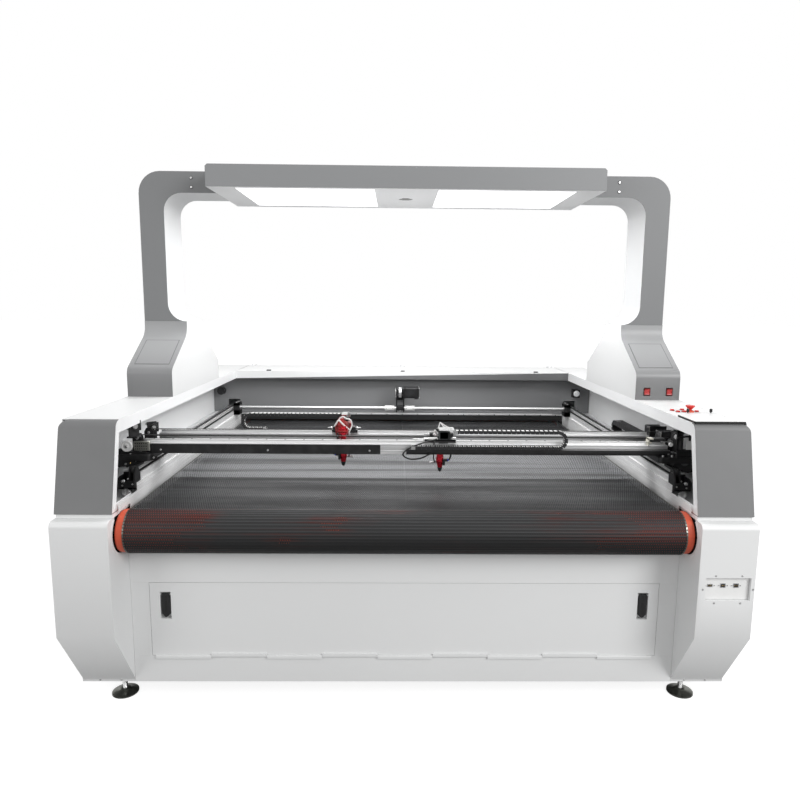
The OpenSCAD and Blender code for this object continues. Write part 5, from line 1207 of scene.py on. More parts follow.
class LASER_OT_heads(bpy.types.Operator):
    """Two cutting heads: carriages, mirror housings, lens tubes, nozzles and their hoses"""
    bl_idname = "laser.heads"
    bl_label = "Cutting heads"

    def execute(self, context):
        self.left()
        self.right()
        self.nozzle("left", -214, 733, -1)
        self.nozzle("right", 118, 714, 1)
        self.hoses()
        return {"FINISHED"}

    def slider(self, build, x, at, ends, body, finish):
        """Bearing block on the rail with its end seals and the red or black body over it."""
        build.use("black").at().bar((x + ends[0], at - 21, BEAM_TOP + 5),
                                    (x + ends[1], at - 7.6, BEAM_TOP + 16), 1)
        build.bar((x + ends[0], at + 7.6, BEAM_TOP + 5), (x + ends[1], at + 21, BEAM_TOP + 16), 1)
        build.bar((x + ends[0], at - 21, BEAM_TOP + 11), (x + ends[1], at + 21, BEAM_TOP + 16.5), 1)
        build.use("steel")
        for end in ends:
            build.bar((x + end - 1.5, at - 20, BEAM_TOP + 4), (x + end + 1.5, at + 20, BEAM_TOP + 15), 0.6)
        build.use(finish).bar((x + body[0], at - 20, BEAM_TOP + 16), (x + body[1], at + 20, BEAM_TOP + 41),
                              1.6)

    def clamps(self, build, x, belt):
        """Black belt clamps with silver rods and screws, one on each side of the head."""
        for side in (-1, 1):
            low, high = sorted((x + side * 24, x + side * 40))
            build.use("plastic").at().bar((low, belt - 3, 850), (high, belt + 12, 860), 1.2)
            build.bar((low, belt - 3, 842), (high, belt + 12, 846.5), 0.8)
            build.use("steel").screw((x + side * 32, belt + 4.5, 860), radius=3.4, height=3)
            build.to(x + side * 22, belt + 2, 856, (side, 0, 0)).pin(2, 0, 36, 0.4, 10)
            build.nut((0, 0, 21), radius=4.4, height=4)

    def left(self):
        x = -214
        build = Build("left_head_body", "dull_red")
        self.slider(build, x, REAR_BEAM, (-44, 44), (-22, 22), "dull_red")
        build.use("dull_red").at(Matrix.Translation((x - 6, 386, 0)))
        rings = []
        for z, width, deep in ((828, 17, 15), (836, 21, 19), (868, 24, 21), (884, 19, 19), (896, 9, 16)):
            rings.append([(-width, -deep * 0.5, z), (-width * 0.45, -deep, z), (width * 0.5, -deep, z),
                          (width, -deep * 0.3, z), (width, deep, z), (-width, deep, z)])
        build.rings(rings)
        build.at().bar((x - 17, 345, 852), (x + 17, 430, 858), 1)
        self.clamps(build, x, 409)
        build.use("air").at().swept(along([(x - 30, 372, 870), (x - 16, 366, 892), (x + 4, 364, 872),
                                           (x + 20, 366, 858)], 6), 2.8)
        build.swept(along([(x + 2, 374, 896), (x + 24, 376, 892), (x + 30, 378, 872), (x + 18, 372, 846),
                           (x + 20, 380, 838)], 8), 2.6)
        build.use("steel").swept(along([(x - 18, 372, 888), (x - 4, 372, 903), (x + 8, 372, 896)], 4), 2.4)
        build.use("plastic").bar((x - 2, 380, 884), (x + 16, 396, 900), 2)
        build.use("hose").swept(along([(x + 8, 388, 898), (x + 14, 420, 902), (x + 10, 466, 899)], 12), 3)
        build.use("dull_red").bar((x - 12, REAR_BEAM - 10, 872), (x + 12, REAR_BEAM + 10, 897), 1.2)
        build.use("steel").bar((x - 12, REAR_BEAM - 10, 896.5), (x + 12, REAR_BEAM + 46, 899.5), 0.6)
        build.finish("left_head", ["left_head_carriage"], "red_anodised")

    def right(self):
        x = 118
        build = Build("right_head_body", "black")
        self.slider(build, x, FRONT_BEAM, (-58, 44), (-9, 26), "black")
        build.use("black").at().bar((x - 17, 264, 852), (x + 25, 379, 858), 1)
        build.use("frame").plate([(x - 12, 262), (x + 19, 262), (x + 19, 300), (x - 12, 300)], 834, 872, 1)
        build.use("air").bar((x - 46, 262, 842), (x - 15, 272, 853), 1.4)
        self.clamps(build, x, 306)
        build.use("plastic").at().bar((x - 12, FRONT_BEAM - 10, 862), (x + 12, FRONT_BEAM + 10, 880), 1.4)
        build.use("steel").bar((x - 12, 237, 880), (x + 38, 292, 883), 0.6)
        build.to(x - 62, 272, 845, "x").pin(6, 0, 24, 1.4, 18)
        build.to(x + 30, 272, 846, "x").pin(7.5, 0, 16, 1.4, 18)
        build.to(x - 96, 270, 846, "x").pin(1.8, 0, 40, 0.4, 8)
        build.use("air").at()
        build.swept(along([(x + 34, 262, 884), (x + 4, 262, 889), (x - 8, 262, 905), (x - 14, 264, 884)], 4),
                    1.9)
        build.swept(along([(x - 6, 262, 903), (x + 14, 262, 890), (x + 30, 262, 885)], 6), 1.5)
        build.swept(along([(x - 30, 262, 862), (x - 26, 262, 880), (x - 14, 262, 868)], 5), 1.9)
        build.use("black").to(x + 8, HEAD_LINE, 858).pin(14, 0, 9, 1.2, 28)
        build.finish("right_head", ["right_head_carriage"], "black_metal")

    def nozzle(self, side, x, tip, way):
        """Anodised lens tube with its knurled ring, gas fitting and conical tip."""
        build = Build(side + "_head_lens_tube", "red").to(x, HEAD_LINE, tip)
        top = (872 if way < 0 else 850) - tip
        build.turned([(8, top), (10, top), (10, 62), (10.6, 61.4), (11.6, 60), (12, 59), (12, 54),
                      (11.4, 53.4), (11.4, 51.6), (12.6, 51), (13.4, 44), (13.4, 37), (12.6, 34), (9, 19),
                      (8, 15)], 40)
        build.use("plastic").turned([(8.6, 15.4), (9, 14.6), (5.6, 3), (2.6, 0), (1.4, 0), (1.4, 6)], 32)
        build.use("red" if way < 0 else "black").to(x, HEAD_LINE, 846).pin(16, 0, 6, 1.4, 36)
        build.to(x, HEAD_LINE, 858.2).gear(15.5, 0.9, 44, 0, 7)
        build.use("steel").to(x, HEAD_LINE, tip + 34,
                              (way * -1, -0.25, 0)).pin(4.2, 13, 22, 0.6, 6).pin(3, 22, 38, 0.8, 14)
        build.use("plastic").to(x, HEAD_LINE, tip + 40, (way * 1, -0.35, 0.1)).pin(5.4, 12, 28, 1, 16)
        build.use("blue").pin(4.4, 27, 31, 0.6, 16)
        low, high = sorted((x + way * 9, x + way * 17))
        build.use("plastic").at().bar((low, HEAD_LINE - 15, tip + 24), (high, HEAD_LINE - 3, tip + 46), 2)
        build.finish(side + "_head", [side + "_head_nozzle"], "red_anodised")

    def hoses(self):
        """Air hoses from the fittings up to the carriages, and the cable loop of the right head."""
        for body, x, tip, way, top in (("left_head", -214, 733, -1, (-240, 348, 842)),
                                       ("right_head", 118, 714, 1, (92, 346, 846))):
            path = along([(x + way * 30, HEAD_LINE - 12, tip + 43), (x + way * 38, HEAD_LINE - 13, tip + 62),
                          (x + way * 20, HEAD_LINE - 14, 800), (x + way * 18, HEAD_LINE - 10, 850)], 16)
            self.hose(body + "_air_hose", body, path, 2.9, "hose")
            start = (x - way * 20, HEAD_LINE - 16, tip + 36)
            path = along([start, (x - way * 24, HEAD_LINE - 22, tip + 60),
                          (x - way * 20, HEAD_LINE - 20, 800), top], 14)
            self.hose(body + "_sensor_cord", body, path, 2.4, "plastic")
        path = along([(100, 246, 852), (46, 242, 838), (4, 242, 820), (-16, 243, 800), (10, 244, 784),
                      (46, 246, 786), (88, 252, 806), (92, 262, 846)], 26)
        self.hose("right_head_cable_loop", "right_head", path, 2.6, "hose")

    def hose(self, name, body, path, radius, finish):
        build = Build(name, finish)
        build.swept(path, radius, 12)
        made = build.finish(body, slot="black_plastic")
        spots = [(point.x * MM, point.y * MM + FRONT, point.z * MM) for point in path]
        length = sum((Vector(a) - Vector(b)).length for a, b in zip(spots, spots[1:]))
        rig.cord(made, spots[0], length, 2 * radius * MM, "object", "stiff", "hanging", path=spots)


# ---------------------------------------------------------------- drive


def toothed_belt(build, way, level, across, ends, pitch, width, radius=12.0):
    """Closed toothed belt round two pulleys; ends are the pulleys' places along the way."""
    low, high = ends
    straight, turn = high - low, math.pi * radius
    count = int(2 * (straight + turn) / pitch)
    rings = []
    for step in range(count * 4):
        distance = (step // 4 + (0.0, 0.34, 0.44, 0.9)[step % 4]) * 2 * (straight + turn) / count
        inside = radius - (0.5, 0.5, 1.5, 1.5)[step % 4]
        if distance < straight:
            spot, out = (low + distance, 0), (0, 1)
        elif distance < straight + turn:
            angle = (distance - straight) / radius
            spot, out = (high, 0), (math.sin(angle), math.cos(angle))
        elif distance < 2 * straight + turn:
            spot, out = (high - (distance - straight - turn), 0), (0, -1)
        else:
            angle = (distance - 2 * straight - turn) / radius
            spot, out = (low, 0), (-math.sin(angle), -math.cos(angle))
        ring = []
        for reach, side in ((inside, 0), (radius + 0.7, 0), (radius + 0.7, width), (inside, width)):
            on, over = spot[0] + out[0] * reach, level + out[1] * reach
            ring.append((on, across + side, over) if way == "x" else (across + side, on, over))
        rings.append(ring)
    build.at().rings(rings, loop=True)


class LASER_OT_drive(bpy.types.Operator):
    """Side beams with rails, toothed belts, pulleys, the drive shaft, its reducer and motors"""
    bl_idname = "laser.drive"
    bl_label = "Drive"

    def execute(self, context):
        detail = context.scene.laser_detail
        self.side_beams(detail.rail_screw_pitch / MM)
        pitch = detail.tooth_pitch / MM
        belts = Build("x_toothed_belts", "belt")
        for at in (306, 409):
            toothed_belt(belts, "x", X_BELT, at, (-X_PULLEY, X_PULLEY), pitch, 9)
        belts.finish("gantry", ["x_belts"], "toothed_rubber")
        belts = Build("y_toothed_belts", "belt")
        for across in (-875, 866):
            toothed_belt(belts, "y", Y_BELT, across, (Y_IDLER, SHAFT), pitch, 9)
        belts.finish("machine", ["y_belts"], "toothed_rubber")
        self.pulleys()
        self.shaft()
        self.brackets()
        self.motors()
        return {"FINISHED"}

    def side_beams(self, pitch):
        build = Build("side_beam_pair", "rail_y")
        outline = [(0, 0), (50, 0), (50, 10.6), (49.2, 11), (44, 11), (44, 19), (49.2, 19), (50, 19.4),
                   (50, 44.4), (49.4, 45), (13, 45), (13, 37), (0, 37), (0, 30.6), (0.8, 30), (0, 29.4),
                   (0, 14.6), (0.8, 14), (0, 13.4)]
        for side in (-1, 1):
            build.use("rail_y").at().rings([[(side * (865 + x), y, 700 + z) for x, z in outline]
                                            for y in (240, 1603)])
            build.use("ground_y").to(side * 895, 0, 745, "y", math.pi / 2)
            linear_rail(build, 241, 1596, pitch)
            build.use("frame").at()
            for k in range(4):
                at = 300 + k * 408.67
                low, high = sorted((side * 871, side * 909))
                build.bar((low, at, 665), (high, at + 40, 700), 1)
                build.bar((low - 3, at - 8, 665), (high + 3, at + 48, 669), 0.8)
        build.finish("machine", ["side_beams"], "aluminium")

    def pulleys(self):
        reach = 4.2
        for node, spot, way in (("left_y_idler", (-870.5, Y_IDLER, Y_BELT), "x"),
                                ("right_y_idler", (870.5, Y_IDLER, Y_BELT), "x"),
                                ("front_x_idler", (-X_PULLEY, 310.5, X_BELT), "y"),
                                ("rear_x_idler", (-X_PULLEY, 413.5, X_BELT), "y"),
                                ("front_x_pulley", (X_PULLEY, 310.5, X_BELT), "y"),
                                ("rear_x_pulley", (X_PULLEY, 413.5, X_BELT), "y")):
            build = Build(node + "_wheel", "rail_x").to(*spot, way)
            build.gear(10.9, 1.1, 18, -reach, reach)
            build.use("steel").pin(5.5, -reach - 0.3, reach + 0.3, 0.4, 20)
            if "idler" not in node:
                build.pin(5, reach, reach + 4.5, 0.5, 20)
                build.use("black").screw((5, 0, reach + 2), "x", 1.6, 1)
            build.finish(node, [node], "aluminium")

    def shaft(self):
        build = Build("drive_shaft_line", "ground_x").to(0, SHAFT, Y_BELT, "x")
        build.pin(8, -864, 864, 1, 32)
        for side in (-1, 1):
            build.use("steel").to(side * 870.3, SHAFT, Y_BELT, "x").gear(10.9, 1.1, 18, -4.2, 4.2)
            build.pin(6.5, -5.4, 5.4, 0.5, 24)
        for low, high in ((-92, -42), (12, 62)):
            build.use("air").to((low + high) / 2, SHAFT, Y_BELT, "x")
            build.turned([(8, -25), (13.2, -25), (14, -24), (14, -9), (13.2, -8.4), (13.2, -6.6), (14, -6),
                          (14, -3.4), (13.2, -2.8), (13.2, 2.8), (14, 3.4), (14, 6), (13.2, 6.6), (13.2, 8.4),
                          (14, 9), (14, 24), (13.2, 25), (8, 25)], 40)
            for x in (-17, 17):
                build.use("black").to((low + high) / 2 + x, SHAFT, Y_BELT,
                                      (0, -1, 0)).screw((0, 0, 12), radius=2.6, height=2)
        build.finish("drive_shaft", ["drive_shaft"], "steel")

    def brackets(self):
        build = Build("pulley_bracket_set", "black")
        for side in (-1, 1):
            build.use("black").at()
            low, high = sorted((side * 862, side * 915))
            build.bar((low, 189, 697), (high, 240, 702), 0.8)
            build.bar((low, 234, 697), (high, 240, 740), 0.8)
            build.bar((low, 189, 697), (high, 195, 722), 0.8)
            for x in (864.4, 880.6, 912.6):
                cheek = [(192, 700), (238, 700), (238, 736), (228, 758), (222, 764), (208, 764), (202, 758),
                         (192, 730)]
                top = 764 if x < 900 else 734
                build.rings([[(side * (x + reach), y, min(z, top)) for y, z in cheek]
                             for reach in (-2.4, 2.4)])
            build.use("steel").to(side * 862, Y_IDLER, Y_BELT, (side, 0, 0)).pin(3, 0, 21, 0.4, 14)
            build.nut((0, 0, 21), radius=6.5, height=5)
            build.to(side * 897, 189, 722, (0, -1, 0)).pin(5.6, -4, 4, 0.8, 20)
            build.screw((0, 0, 4), radius=4.2, height=4)
            for x, z in ((868, 712), (882, 730), (900, 708)):
                build.to(side * x, 189, z, (0, -1, 0)).screw((0, 0, 0), radius=3, height=2.6)
            build.use("steel").to(side * 890, 0, 684, "y").gear(13, 0.8, 40, 190, 203)
            build.turned([(9, 190), (11.5, 188.4), (11.5, 186.5), (6, 186.5), (5, 188)], 32)
            build.pin(5, 203, 240, 0.6, 16)
            build.use("black").at()
            low, high = sorted((side * 835, side * 864.6))
            build.bar((low, 1470, 716), (high, 1492, 778), 1.6)
            build.bar((low, 1508, 716), (high, 1530, 778), 1.6)
            build.bar((low, 1470, 762), (high, 1530, 778), 1.6).bar((low, 1470, 716), (high, 1530, 742), 1.6)
            build.use("steel").to(side * 834, SHAFT, Y_BELT, "x").tube(14, 8.6, -1.5, 1.5, 0.5)
            for y in (1478, 1522):
                build.use("steel").to(side * 850, y, 778).screw((0, 0, 0), radius=4.5, height=4)
        self.reducer(build)
        build.finish("machine", ["pulley_brackets"], "steel")

    def reducer(self, build):
        """Belt reducer in the middle of the shaft with its arm to the partition."""
        build.use("black").at()
        cheek = ((-20, 738), (-14, 732), (14, 732), (20, 738), (30, 806), (30, 856), (24, 862), (-24, 862),
                 (-30, 856), (-30, 806))
        for low, high in ((-34, -28), (2, 8)):
            build.rings([[(x, SHAFT + y, z) for y, z in cheek] for x in (low, high)])
        build.use("motor").bar((-28.4, 1480, 742), (2.4, 1520, 764), 2)
        build.use("black").bar((-34, 1526, 800), (8, 1606, 812), 1.2)
        build.bar((-34, 1596, 780), (8, 1606, 836), 1.2)
        build.use("rail_x").to(-13, SHAFT, 834, "x").gear(26, 1.2, 40, -7, 7)
        build.use("air").to(-34, SHAFT, 834, (-1, 0, 0)).turned([(15, 0), (15, 2.6), (13, 4), (4, 4)], 32)
        for y, z in ((-22, 850), (22, 850), (-22, 814), (22, 814), (0, 742)):
            build.use("steel").to(-34, SHAFT + y, z, (-1, 0, 0)).screw((0, 0, 0), radius=3.2, height=2.6)
            build.at().screw((-13, 1478 + y * 0.4, z), (0, -1, 0), 2.8, 2.4)

    def motors(self):
        build = Build("drive_motor_set", "motor")
        build.use("black").to(8, SHAFT, 834, "x").plate(rounded(57, 57, 5), 0, 7, 0.8)
        build.use("motor").plate(rounded(55, 55, 8), 7, 62, 0.6)
        build.use("black").plate(rounded(56, 56, 5), 62, 76, 1.2)
        for x in (-23.5, 23.5):
            for y in (-23.5, 23.5):
                build.use("steel").screw((x, y, 76), radius=2.8, height=2)
        build.use("plastic").at().bar((60, 1488, 800), (78, 1512, 808), 1)
        gear = (932.4, 1030, 95)
        build.use("black").at().bar((gear[0], gear[2] - 48, 546), (gear[1], gear[2] + 48, 642), 3, 8)
        for z in range(556, 636, 11):
            build.bar((gear[0] + 8, gear[2] - 50, z), (gear[1] - 8, gear[2] + 50, z + 4), 1)
        build.use("steel").to(gear[0] - 1, gear[2], 594, "x").tube(22, 12.8, -1, 2, 0.5)
        middle = (gear[0] + gear[1]) / 2
        build.use("motor").to(middle, gear[2], 0).turned([(34, 384), (38, 386), (40, 390), (40, 400)] + [
            (radius, z) for z in range(404, 530, 9)
            for radius, z in ((40, z), (40, z + 4), (37.4, z + 5), (37.4, z + 8))]
            + [(40, 534), (44, 536), (44, 546)], 48)
        build.use("plastic").at().bar((middle - 18, gear[2] + 34, 440), (middle + 18, gear[2] + 47, 490),
                                      2, 3)
        build.use("frame").bar((gear[0] - 5, gear[2] - 48, 554), (gear[0], 196, 566), 0.8)
        build.finish("machine", ["drive_motors"], "black_metal")


# ---------------------------------------------------------------- controls


class LASER_OT_controls(bpy.types.Operator):
    """Emergency stop, keys, knobs, rocker switches, sockets, latches, feet and small fixings"""
    bl_idname = "laser.controls"
    bl_label = "Controls"

    def execute(self, context):
        self.stop()
        self.plate()
        self.knobs()
        self.rockers()
        self.sockets()
        self.latches()
        self.feet()
        self.fixings()
        return {"FINISHED"}

    def stop(self):
        build = Build("emergency_stop_head", "button").to(955, 323, 0)
        build.turned([(6, 939.3), (6, 944.5), (8.4, 945.6), (14.4, 953), (15, 954.6), (14.6, 956.2),
                      (13, 957), (4, 957.3)], 48)
        build.finish("emergency_stop", ["emergency_stop"], "red_plastic")

    def plate(self):
        build = Build("control_plate_and_bases", "panel")
        build.at().plate([(x + 949.5, y + 164) for x, y in rounded(157, 120, 5)], 934, 938, 0.5)
        build.use("hose").bar((871, 102, 934.4), (1028, 107, 940.4), 0.8)
        build.bar((871, 102, 934.4), (875.4, 224, 940.4), 0.8)
        for x, y in ((-66, -50), (66, -50), (-66, 50), (66, 50)):
            build.use("steel").screw((952 + x, 164 + y, 937.4), radius=2.6, height=1.2)
        build.use("roller").to(955, 323, 934).turned([(13, 0), (13, 4), (12, 5.2), (9.2, 5.2), (9.2, 0.8),
                                                      (2, 0.8)], 40)
        build.use("button")
        for x, y in ((906, 349), (913, 320), (946, 363), (934, 322), (980, 328)):
            build.use("bezel").to(x, y, 934).turned([(8, 0), (8, 1.2), (7.4, 1.9), (6.8, 1.9)], 28)
            build.use("button").turned([(6.6, 0), (6.6, 4.2), (5.8, 5), (2, 4.6)], 28)
        build.use("steel")
        for x in (936, 1013):
            build.to(x, 296, 934).tube(5.2, 2.4, 0, 1.2, 0.3, 20)
        build.finish("machine", ["control_panel"], "control_plate")

    def knobs(self):
        for side, x in (("left", 936), ("right", 1013)):
            build = Build(side + "_knob_cap", "plastic").to(x, 296, 0)
            build.gear(4.6, 0.4, 22, 938.3, 948)
            build.turned([(4.3, 947.8), (4.1, 949), (3.6, 949.6), (1, 949.4)], 28)
            build.pin(1.9, 935.6, 939, 0.2, 14)
            build.use("air").bar((-0.4, -4, 949.1), (0.4, -1.2, 949.8), 0.1)
            build.finish(side + "_knob", [side + "_knob"], "black_plastic")

    def rockers(self):
        for side, x in (("left", 913), ("right", 998)):
            low, high = corners(side + "_rocker")
            build = Build(side + "_rocker_key", "rocker")
            depth = low.y
            side_view = [(depth, high.z), (depth + 4.2, 965), (depth + 1.6, low.z), (depth + 4, low.z),
                         (depth + 8, low.z + 4), (depth + 8, high.z - 4), (depth + 4, high.z)]
            build.rings([[(px, y, z) for y, z in side_view] for px in (low.x + 0.2, high.x - 0.2)])
            build.finish(side + "_rocker", [side + "_rocker"], "red_plastic")
        for side, x in (("left", 913), ("right", 998)):
            build = Build(side + "_rocker_bezel", "bezel")
            for low, high in (((x - 12, 594.6, 952), (x - 9.4, 601, 978)),
                              ((x + 9.4, 594.6, 952), (x + 12, 601, 978)),
                              ((x - 12, 594.6, 975.4), (x + 12, 601, 978)),
                              ((x - 12, 594.6, 952), (x + 12, 601, 954.6))):
                build.bar(low, high, 0.5)
            build.finish("machine", slot="red_plastic")

    def sockets(self):
        """White recess with three black sockets and their gold contacts."""
        build = Build("socket_plate", "panel").at()
        build.bar((893, 10, 416), (1027, 12, 485), 0.5)
        for x, width, height in ((909, 12.2, 5.2), (948.5, 11.8, 9.2), (988, 12.2, 9.4)):
            frame_w, frame_h = width + 5, height + 5
            build.use("steel").to(x, 10, 459, (0, -1, 0)).plate(rounded(frame_w, frame_h, 1.4), 0, 1, 0.3)
            build.use("plastic").plate(rounded(width, height, 0.8), 1, 1.5, 0.2)
            build.use("brass")
            for i in range(-2, 3):
                build.bar((i * 2 - 0.4, -1, 1.5), (i * 2 + 0.4, 1, 1.9), 0.1)
            for way in (-1, 1):
                build.use("steel").screw((way * (frame_w / 2 + 4.5), 0, 0), radius=2, height=1.6)
        build.finish("machine", ["interface_panel"], "control_plate")

    def latches(self):
        for side, x in (("left", -762), ("right", 762)):
            build = Build(side + "_latch_handle", "plastic")
            outline = [(-13.6, 369), (-11.6, 371), (11.6, 371), (13.6, 369), (13.6, 302), (3, 291), (-3, 291),
                       (-13.6, 302)]
            build.rings([[(x + a * share, y, z) for a, z in outline]
                         for share, y in ((0.84, 136.4), (1, 137.6), (1, 141), (0.9, 142))])
            build.use("hose").bar((x - 3.4, 135.9, 306), (x + 3.4, 137, 344), 0.5)
            build.to(x, 137, 358, (0, -1, 0)).pin(4, 0, 1.8, 0.4, 20)
            build.finish(side + "_latch", [side + "_latch"], "black_metal")

    def feet(self):
        build = Build("levelling_foot_set", "foot")
        for x in (-928, 928):
            for y in (190, 1693):
                build.to(x, y, 0).use("hose").turned([(39, 0), (42, 1), (42, 2.4), (40, 3)], 48)
                build.use("foot").turned([(42, 2.6), (42, 5.4), (40.4, 6.4), (30, 8.6), (20, 11.4), (16, 15),
                                          (13, 17), (8, 17.4)], 48)
                thread = [(8, 17)]
                for z in range(18, 96, 3):
                    thread += [(8, z), (7.2, z + 1.5)]
                build.use("steel").turned(thread + [(8, 97), (6.6, 99)], 20)
                build.turned([(14, 60.4), (14.6, 61.4), (14.6, 68.8), (13.8, 69.8)], 6)
                build.pin(17, 57.6, 60.4, 0.4, 32)
        build.finish("machine", ["levelling_feet"], "steel")

    def fixings(self):
        """Screws of the arch, the skirt and the sockets, and the small clips on the rear edge."""
        build = Build("small_fixings", "steel")
        for side in (-1, 1):
            for x in (915, 983):
                build.at().screw((side * x, 136, 76), (0, -1, 0), 3, 1.6)
            for z in (1726, 1761):
                build.screw((side * 832, 798, z), (0, -1, 0), 4.4, 2)
                build.use("black").to(side * 832, 798, z, (0, -1, 0)).tube(6.4, 4.6, 0, 0.8, 0.2)
                build.use("steel").at()
        for x, z in ((921, 407), (1000, 407), (921, 493), (1000, 493), (884, 450), (1035, 450)):
            build.screw((x, 0.2, z), (0, -1, 0), 2.7, 1.2)
        build.finish("machine", ["fasteners"], "steel")
        clips = Build("rear_edge_clips", "frame")
        for x in (-700, 0, 700):
            clips.at().bar((x - 11, 1564, 934), (x + 11, 1578, 940), 1)
            clips.use("steel").screw((x, 1571, 940), radius=3, height=1.6)
            clips.use("frame")
        clips.finish("machine", slot="steel")


# ---------------------------------------------------------------- arch and rear


class LASER_OT_arch(bpy.types.Operator):
    """Second finishes of the sheet metal, camera, laser tubes, power box, exhaust guard and hatch seams"""
    bl_idname = "laser.arch"
    bl_label = "Arch and rear bay"

    def execute(self, context):
        self.second_finishes()
        self.camera()
        self.tubes()
        self.exhaust_guard()
        self.hatch_seams()
        return {"FINISHED"}

    def second_finishes(self):
        """Inner and upper faces of the sheet metal that have a finish of their own; on some of them the finish is
        painted light or shade.
        """
        arch_top, lip, pedestal_foot = 1.7045, 0.908, 0.945
        duct, wall = Vector((0.37, 0.69, 0.3)), 0.666
        self.inner_faces("arch", "pale_inside", lambda normal, spot: abs(normal.y) < 0.447 and (
            abs(spot.x) < 0.975 and (spot.z < arch_top or normal.z < -0.5)))
        for side in ("left", "right"):
            # Painted light: the housings' inner walls take the brighter liner white.
            self.inner_faces("housing_" + side, "liner", lambda normal, spot: abs(normal.x) > 0.6 and (
                abs(spot.x) < 1.004 and spot.z < 0.93))
        self.inner_faces("rear_partition", "white", lambda normal, spot: spot.z > lip)
        # Painted light: the sloped faces of the grey covers take the lighter, graded slope finish.
        self.inner_faces("grey_covers", "slope", lambda normal, spot: spot.z > pedestal_foot)
        self.inner_faces("light_box", "underside", lambda normal, spot: normal.z < -0.7)
        # Painted shade: the inner faces of the exhaust duct take the dark frame paint, so its inside reads dark.
        self.inner_faces("exhaust_duct", "frame", lambda normal, spot: normal.dot(duct - spot) > 0)
        self.inner_faces("rear_partition", "black", lambda normal, spot: (
            abs(spot.x) > 0.88 and 0.79 < spot.z < 0.86 and wall - 0.06 < spot.y < wall - 0.003))
        # Painted light: this strip of the partition takes the brighter liner white.
        self.inner_faces("rear_partition", "liner", lambda normal, spot: (
            spot.x > 0.88 and 0.79 < spot.z < 0.86 and wall - 0.06 < spot.y < wall - 0.0365))

    def inner_faces(self, node, finish, chosen):
        """Give the faces of a CAD node that a test picks a finish of their own."""
        item = CAD[node]
        item.data.materials.append(FINISH[finish])
        for face in item.data.polygons:
            if chosen(face.normal, item.matrix_world @ face.center):
                face.material_index = len(item.data.materials) - 1
        item.modifiers["Flat faces"].delimit = {"MATERIAL"}

    def camera(self):
        build = Build("camera_unit", "plastic")
        build.use("pale").to(0, 898, 1704.4, (0, 0, -1))
        build.rings([[(x, y, z) for x, y in circle(radius, 6, math.pi / 6)] for radius, z in
                     ((44, -6), (45, -4.6), (45, -2), (43, -0.4), (30, -0.4), (27, -4), (27, -12))])
        build.use("plastic").turned([(30, -30), (24, -12), (19, -6), (17, -4.4), (16, -4.6), (15, -9)], 40)
        build.use("steel").turned([(15.6, -8), (14.8, -5.6), (14.2, -5.6), (13.8, -9)], 40)
        build.use("lens").turned([(14, -9), (11, -6.6), (6, -5.2), (1, -4.8)], 40)
        build.use("plastic").at().bar((-40, 868, 1716), (40, 926, 1774), 3, 5)
        build.finish("machine", ["camera"], "black_plastic")

    def exhaust_guard(self):
        """Welded wire guard in the mouth of the exhaust."""
        x, y, z, wire = 370, 1868, 300, 1.2
        build = Build("exhaust_guard", "steel").to(x, y, z, "y")
        build.tube(72.8, 69, -6, 6)
        for radius in (16, 30, 44, 58):
            build.tube(radius + wire, radius - wire, -wire, wire, 0.8)
        build.pin(9, -2, 2)
        for turn in range(4):
            build.to(x, y + 2 * wire, z, "y", turn * math.pi / 4)
            build.bar((-71, -1.3, -1.3), (71, 1.3, 1.3), 0.8)
        build.finish("machine", slot="steel")

    def hatch_seams(self):
        """Seams round the service hatches in the slopes of the pedestals."""
        middle, half_width, half_rise = (952.5, 689.25, 1095.83), 62.5, 75.1
        lean = facing((0, -0.537, 0.8435))
        section = ((0, -1.3), (2.8, -1.3), (2.8, -0.5), (0, -0.5))
        build = Build("hatch_seams", "cover")
        for side in (-1, 1):
            build.at(Matrix.Translation((side * middle[0], *middle[1:])) @ lean)
            build.rings([[(way * (half_width + gap), rise * (half_rise + gap), out) for gap, out in section]
                         for way, rise in ((-1, -1), (1, -1), (1, 1), (-1, 1))], True)
        build.finish("machine", slot="grey_plastic")

    def tubes(self):
        """Two glass tubes with brass ends, water jackets and clamps in the rear bay."""
        build = Build("laser_tube_pair", "tube_glass")
        for y in (1680, 1798):
            build.use("tube_glass").to(0, y, 770, "x")
            build.turned([(8, -690), (30, -684), (37.6, -668), (38, -640), (38, 640), (37.6, 668), (30, 684),
                          (8, 690)], 40)
            build.use("air").turned([(12, -660), (12.4, -650), (12.4, 650), (12, 660)], 20)
            for way in (-1, 1):
                build.use("brass").to(way * 689, y, 770, (way, 0, 0))
                build.turned([(9, -2), (16, 0), (16, 12), (13, 14), (13, 30), (10, 36)], 32)
                build.use("steel").to(way * 420, y, 770, "x").tube(40.4, 38.2, -10, 10, 0.8)
                build.use("black").at().bar((way * 420 - 14, y - 44, 712), (way * 420 + 14, y + 44, 729), 1.6)
                build.bar((way * 420 - 10, y - 42, 728), (way * 420 + 10, y - 36, 772), 1)
                build.bar((way * 420 - 10, y + 36, 728), (way * 420 + 10, y + 42, 772), 1)
                build.use("hose").swept(along([(way * 600, y, 732), (way * 600, y + 8, 718),
                                               (way * 640, y + 14, 715), (way * 722, y + 14, 715)], 12), 5)
        build.finish("machine", ["laser_tubes"], "tube_glass")
        box = Build("power_box_case", "arch").at()
        box.bar((-640, 1493, 126), (-120, 1731, 412), 2.4, 4)
        for z in range(180, 360, 16):
            box.use("hose").bar((-560, 1730.4, z), (-200, 1732.4, z + 6), 0.6)
        for x in (-620, -140):
            for z in (140, 398):
                box.use("steel").screw((x, 1731, z), "y", 4, 2)
        box.finish("machine", ["power_box"], "grey_paint")


# ---------------------------------------------------------------- stage


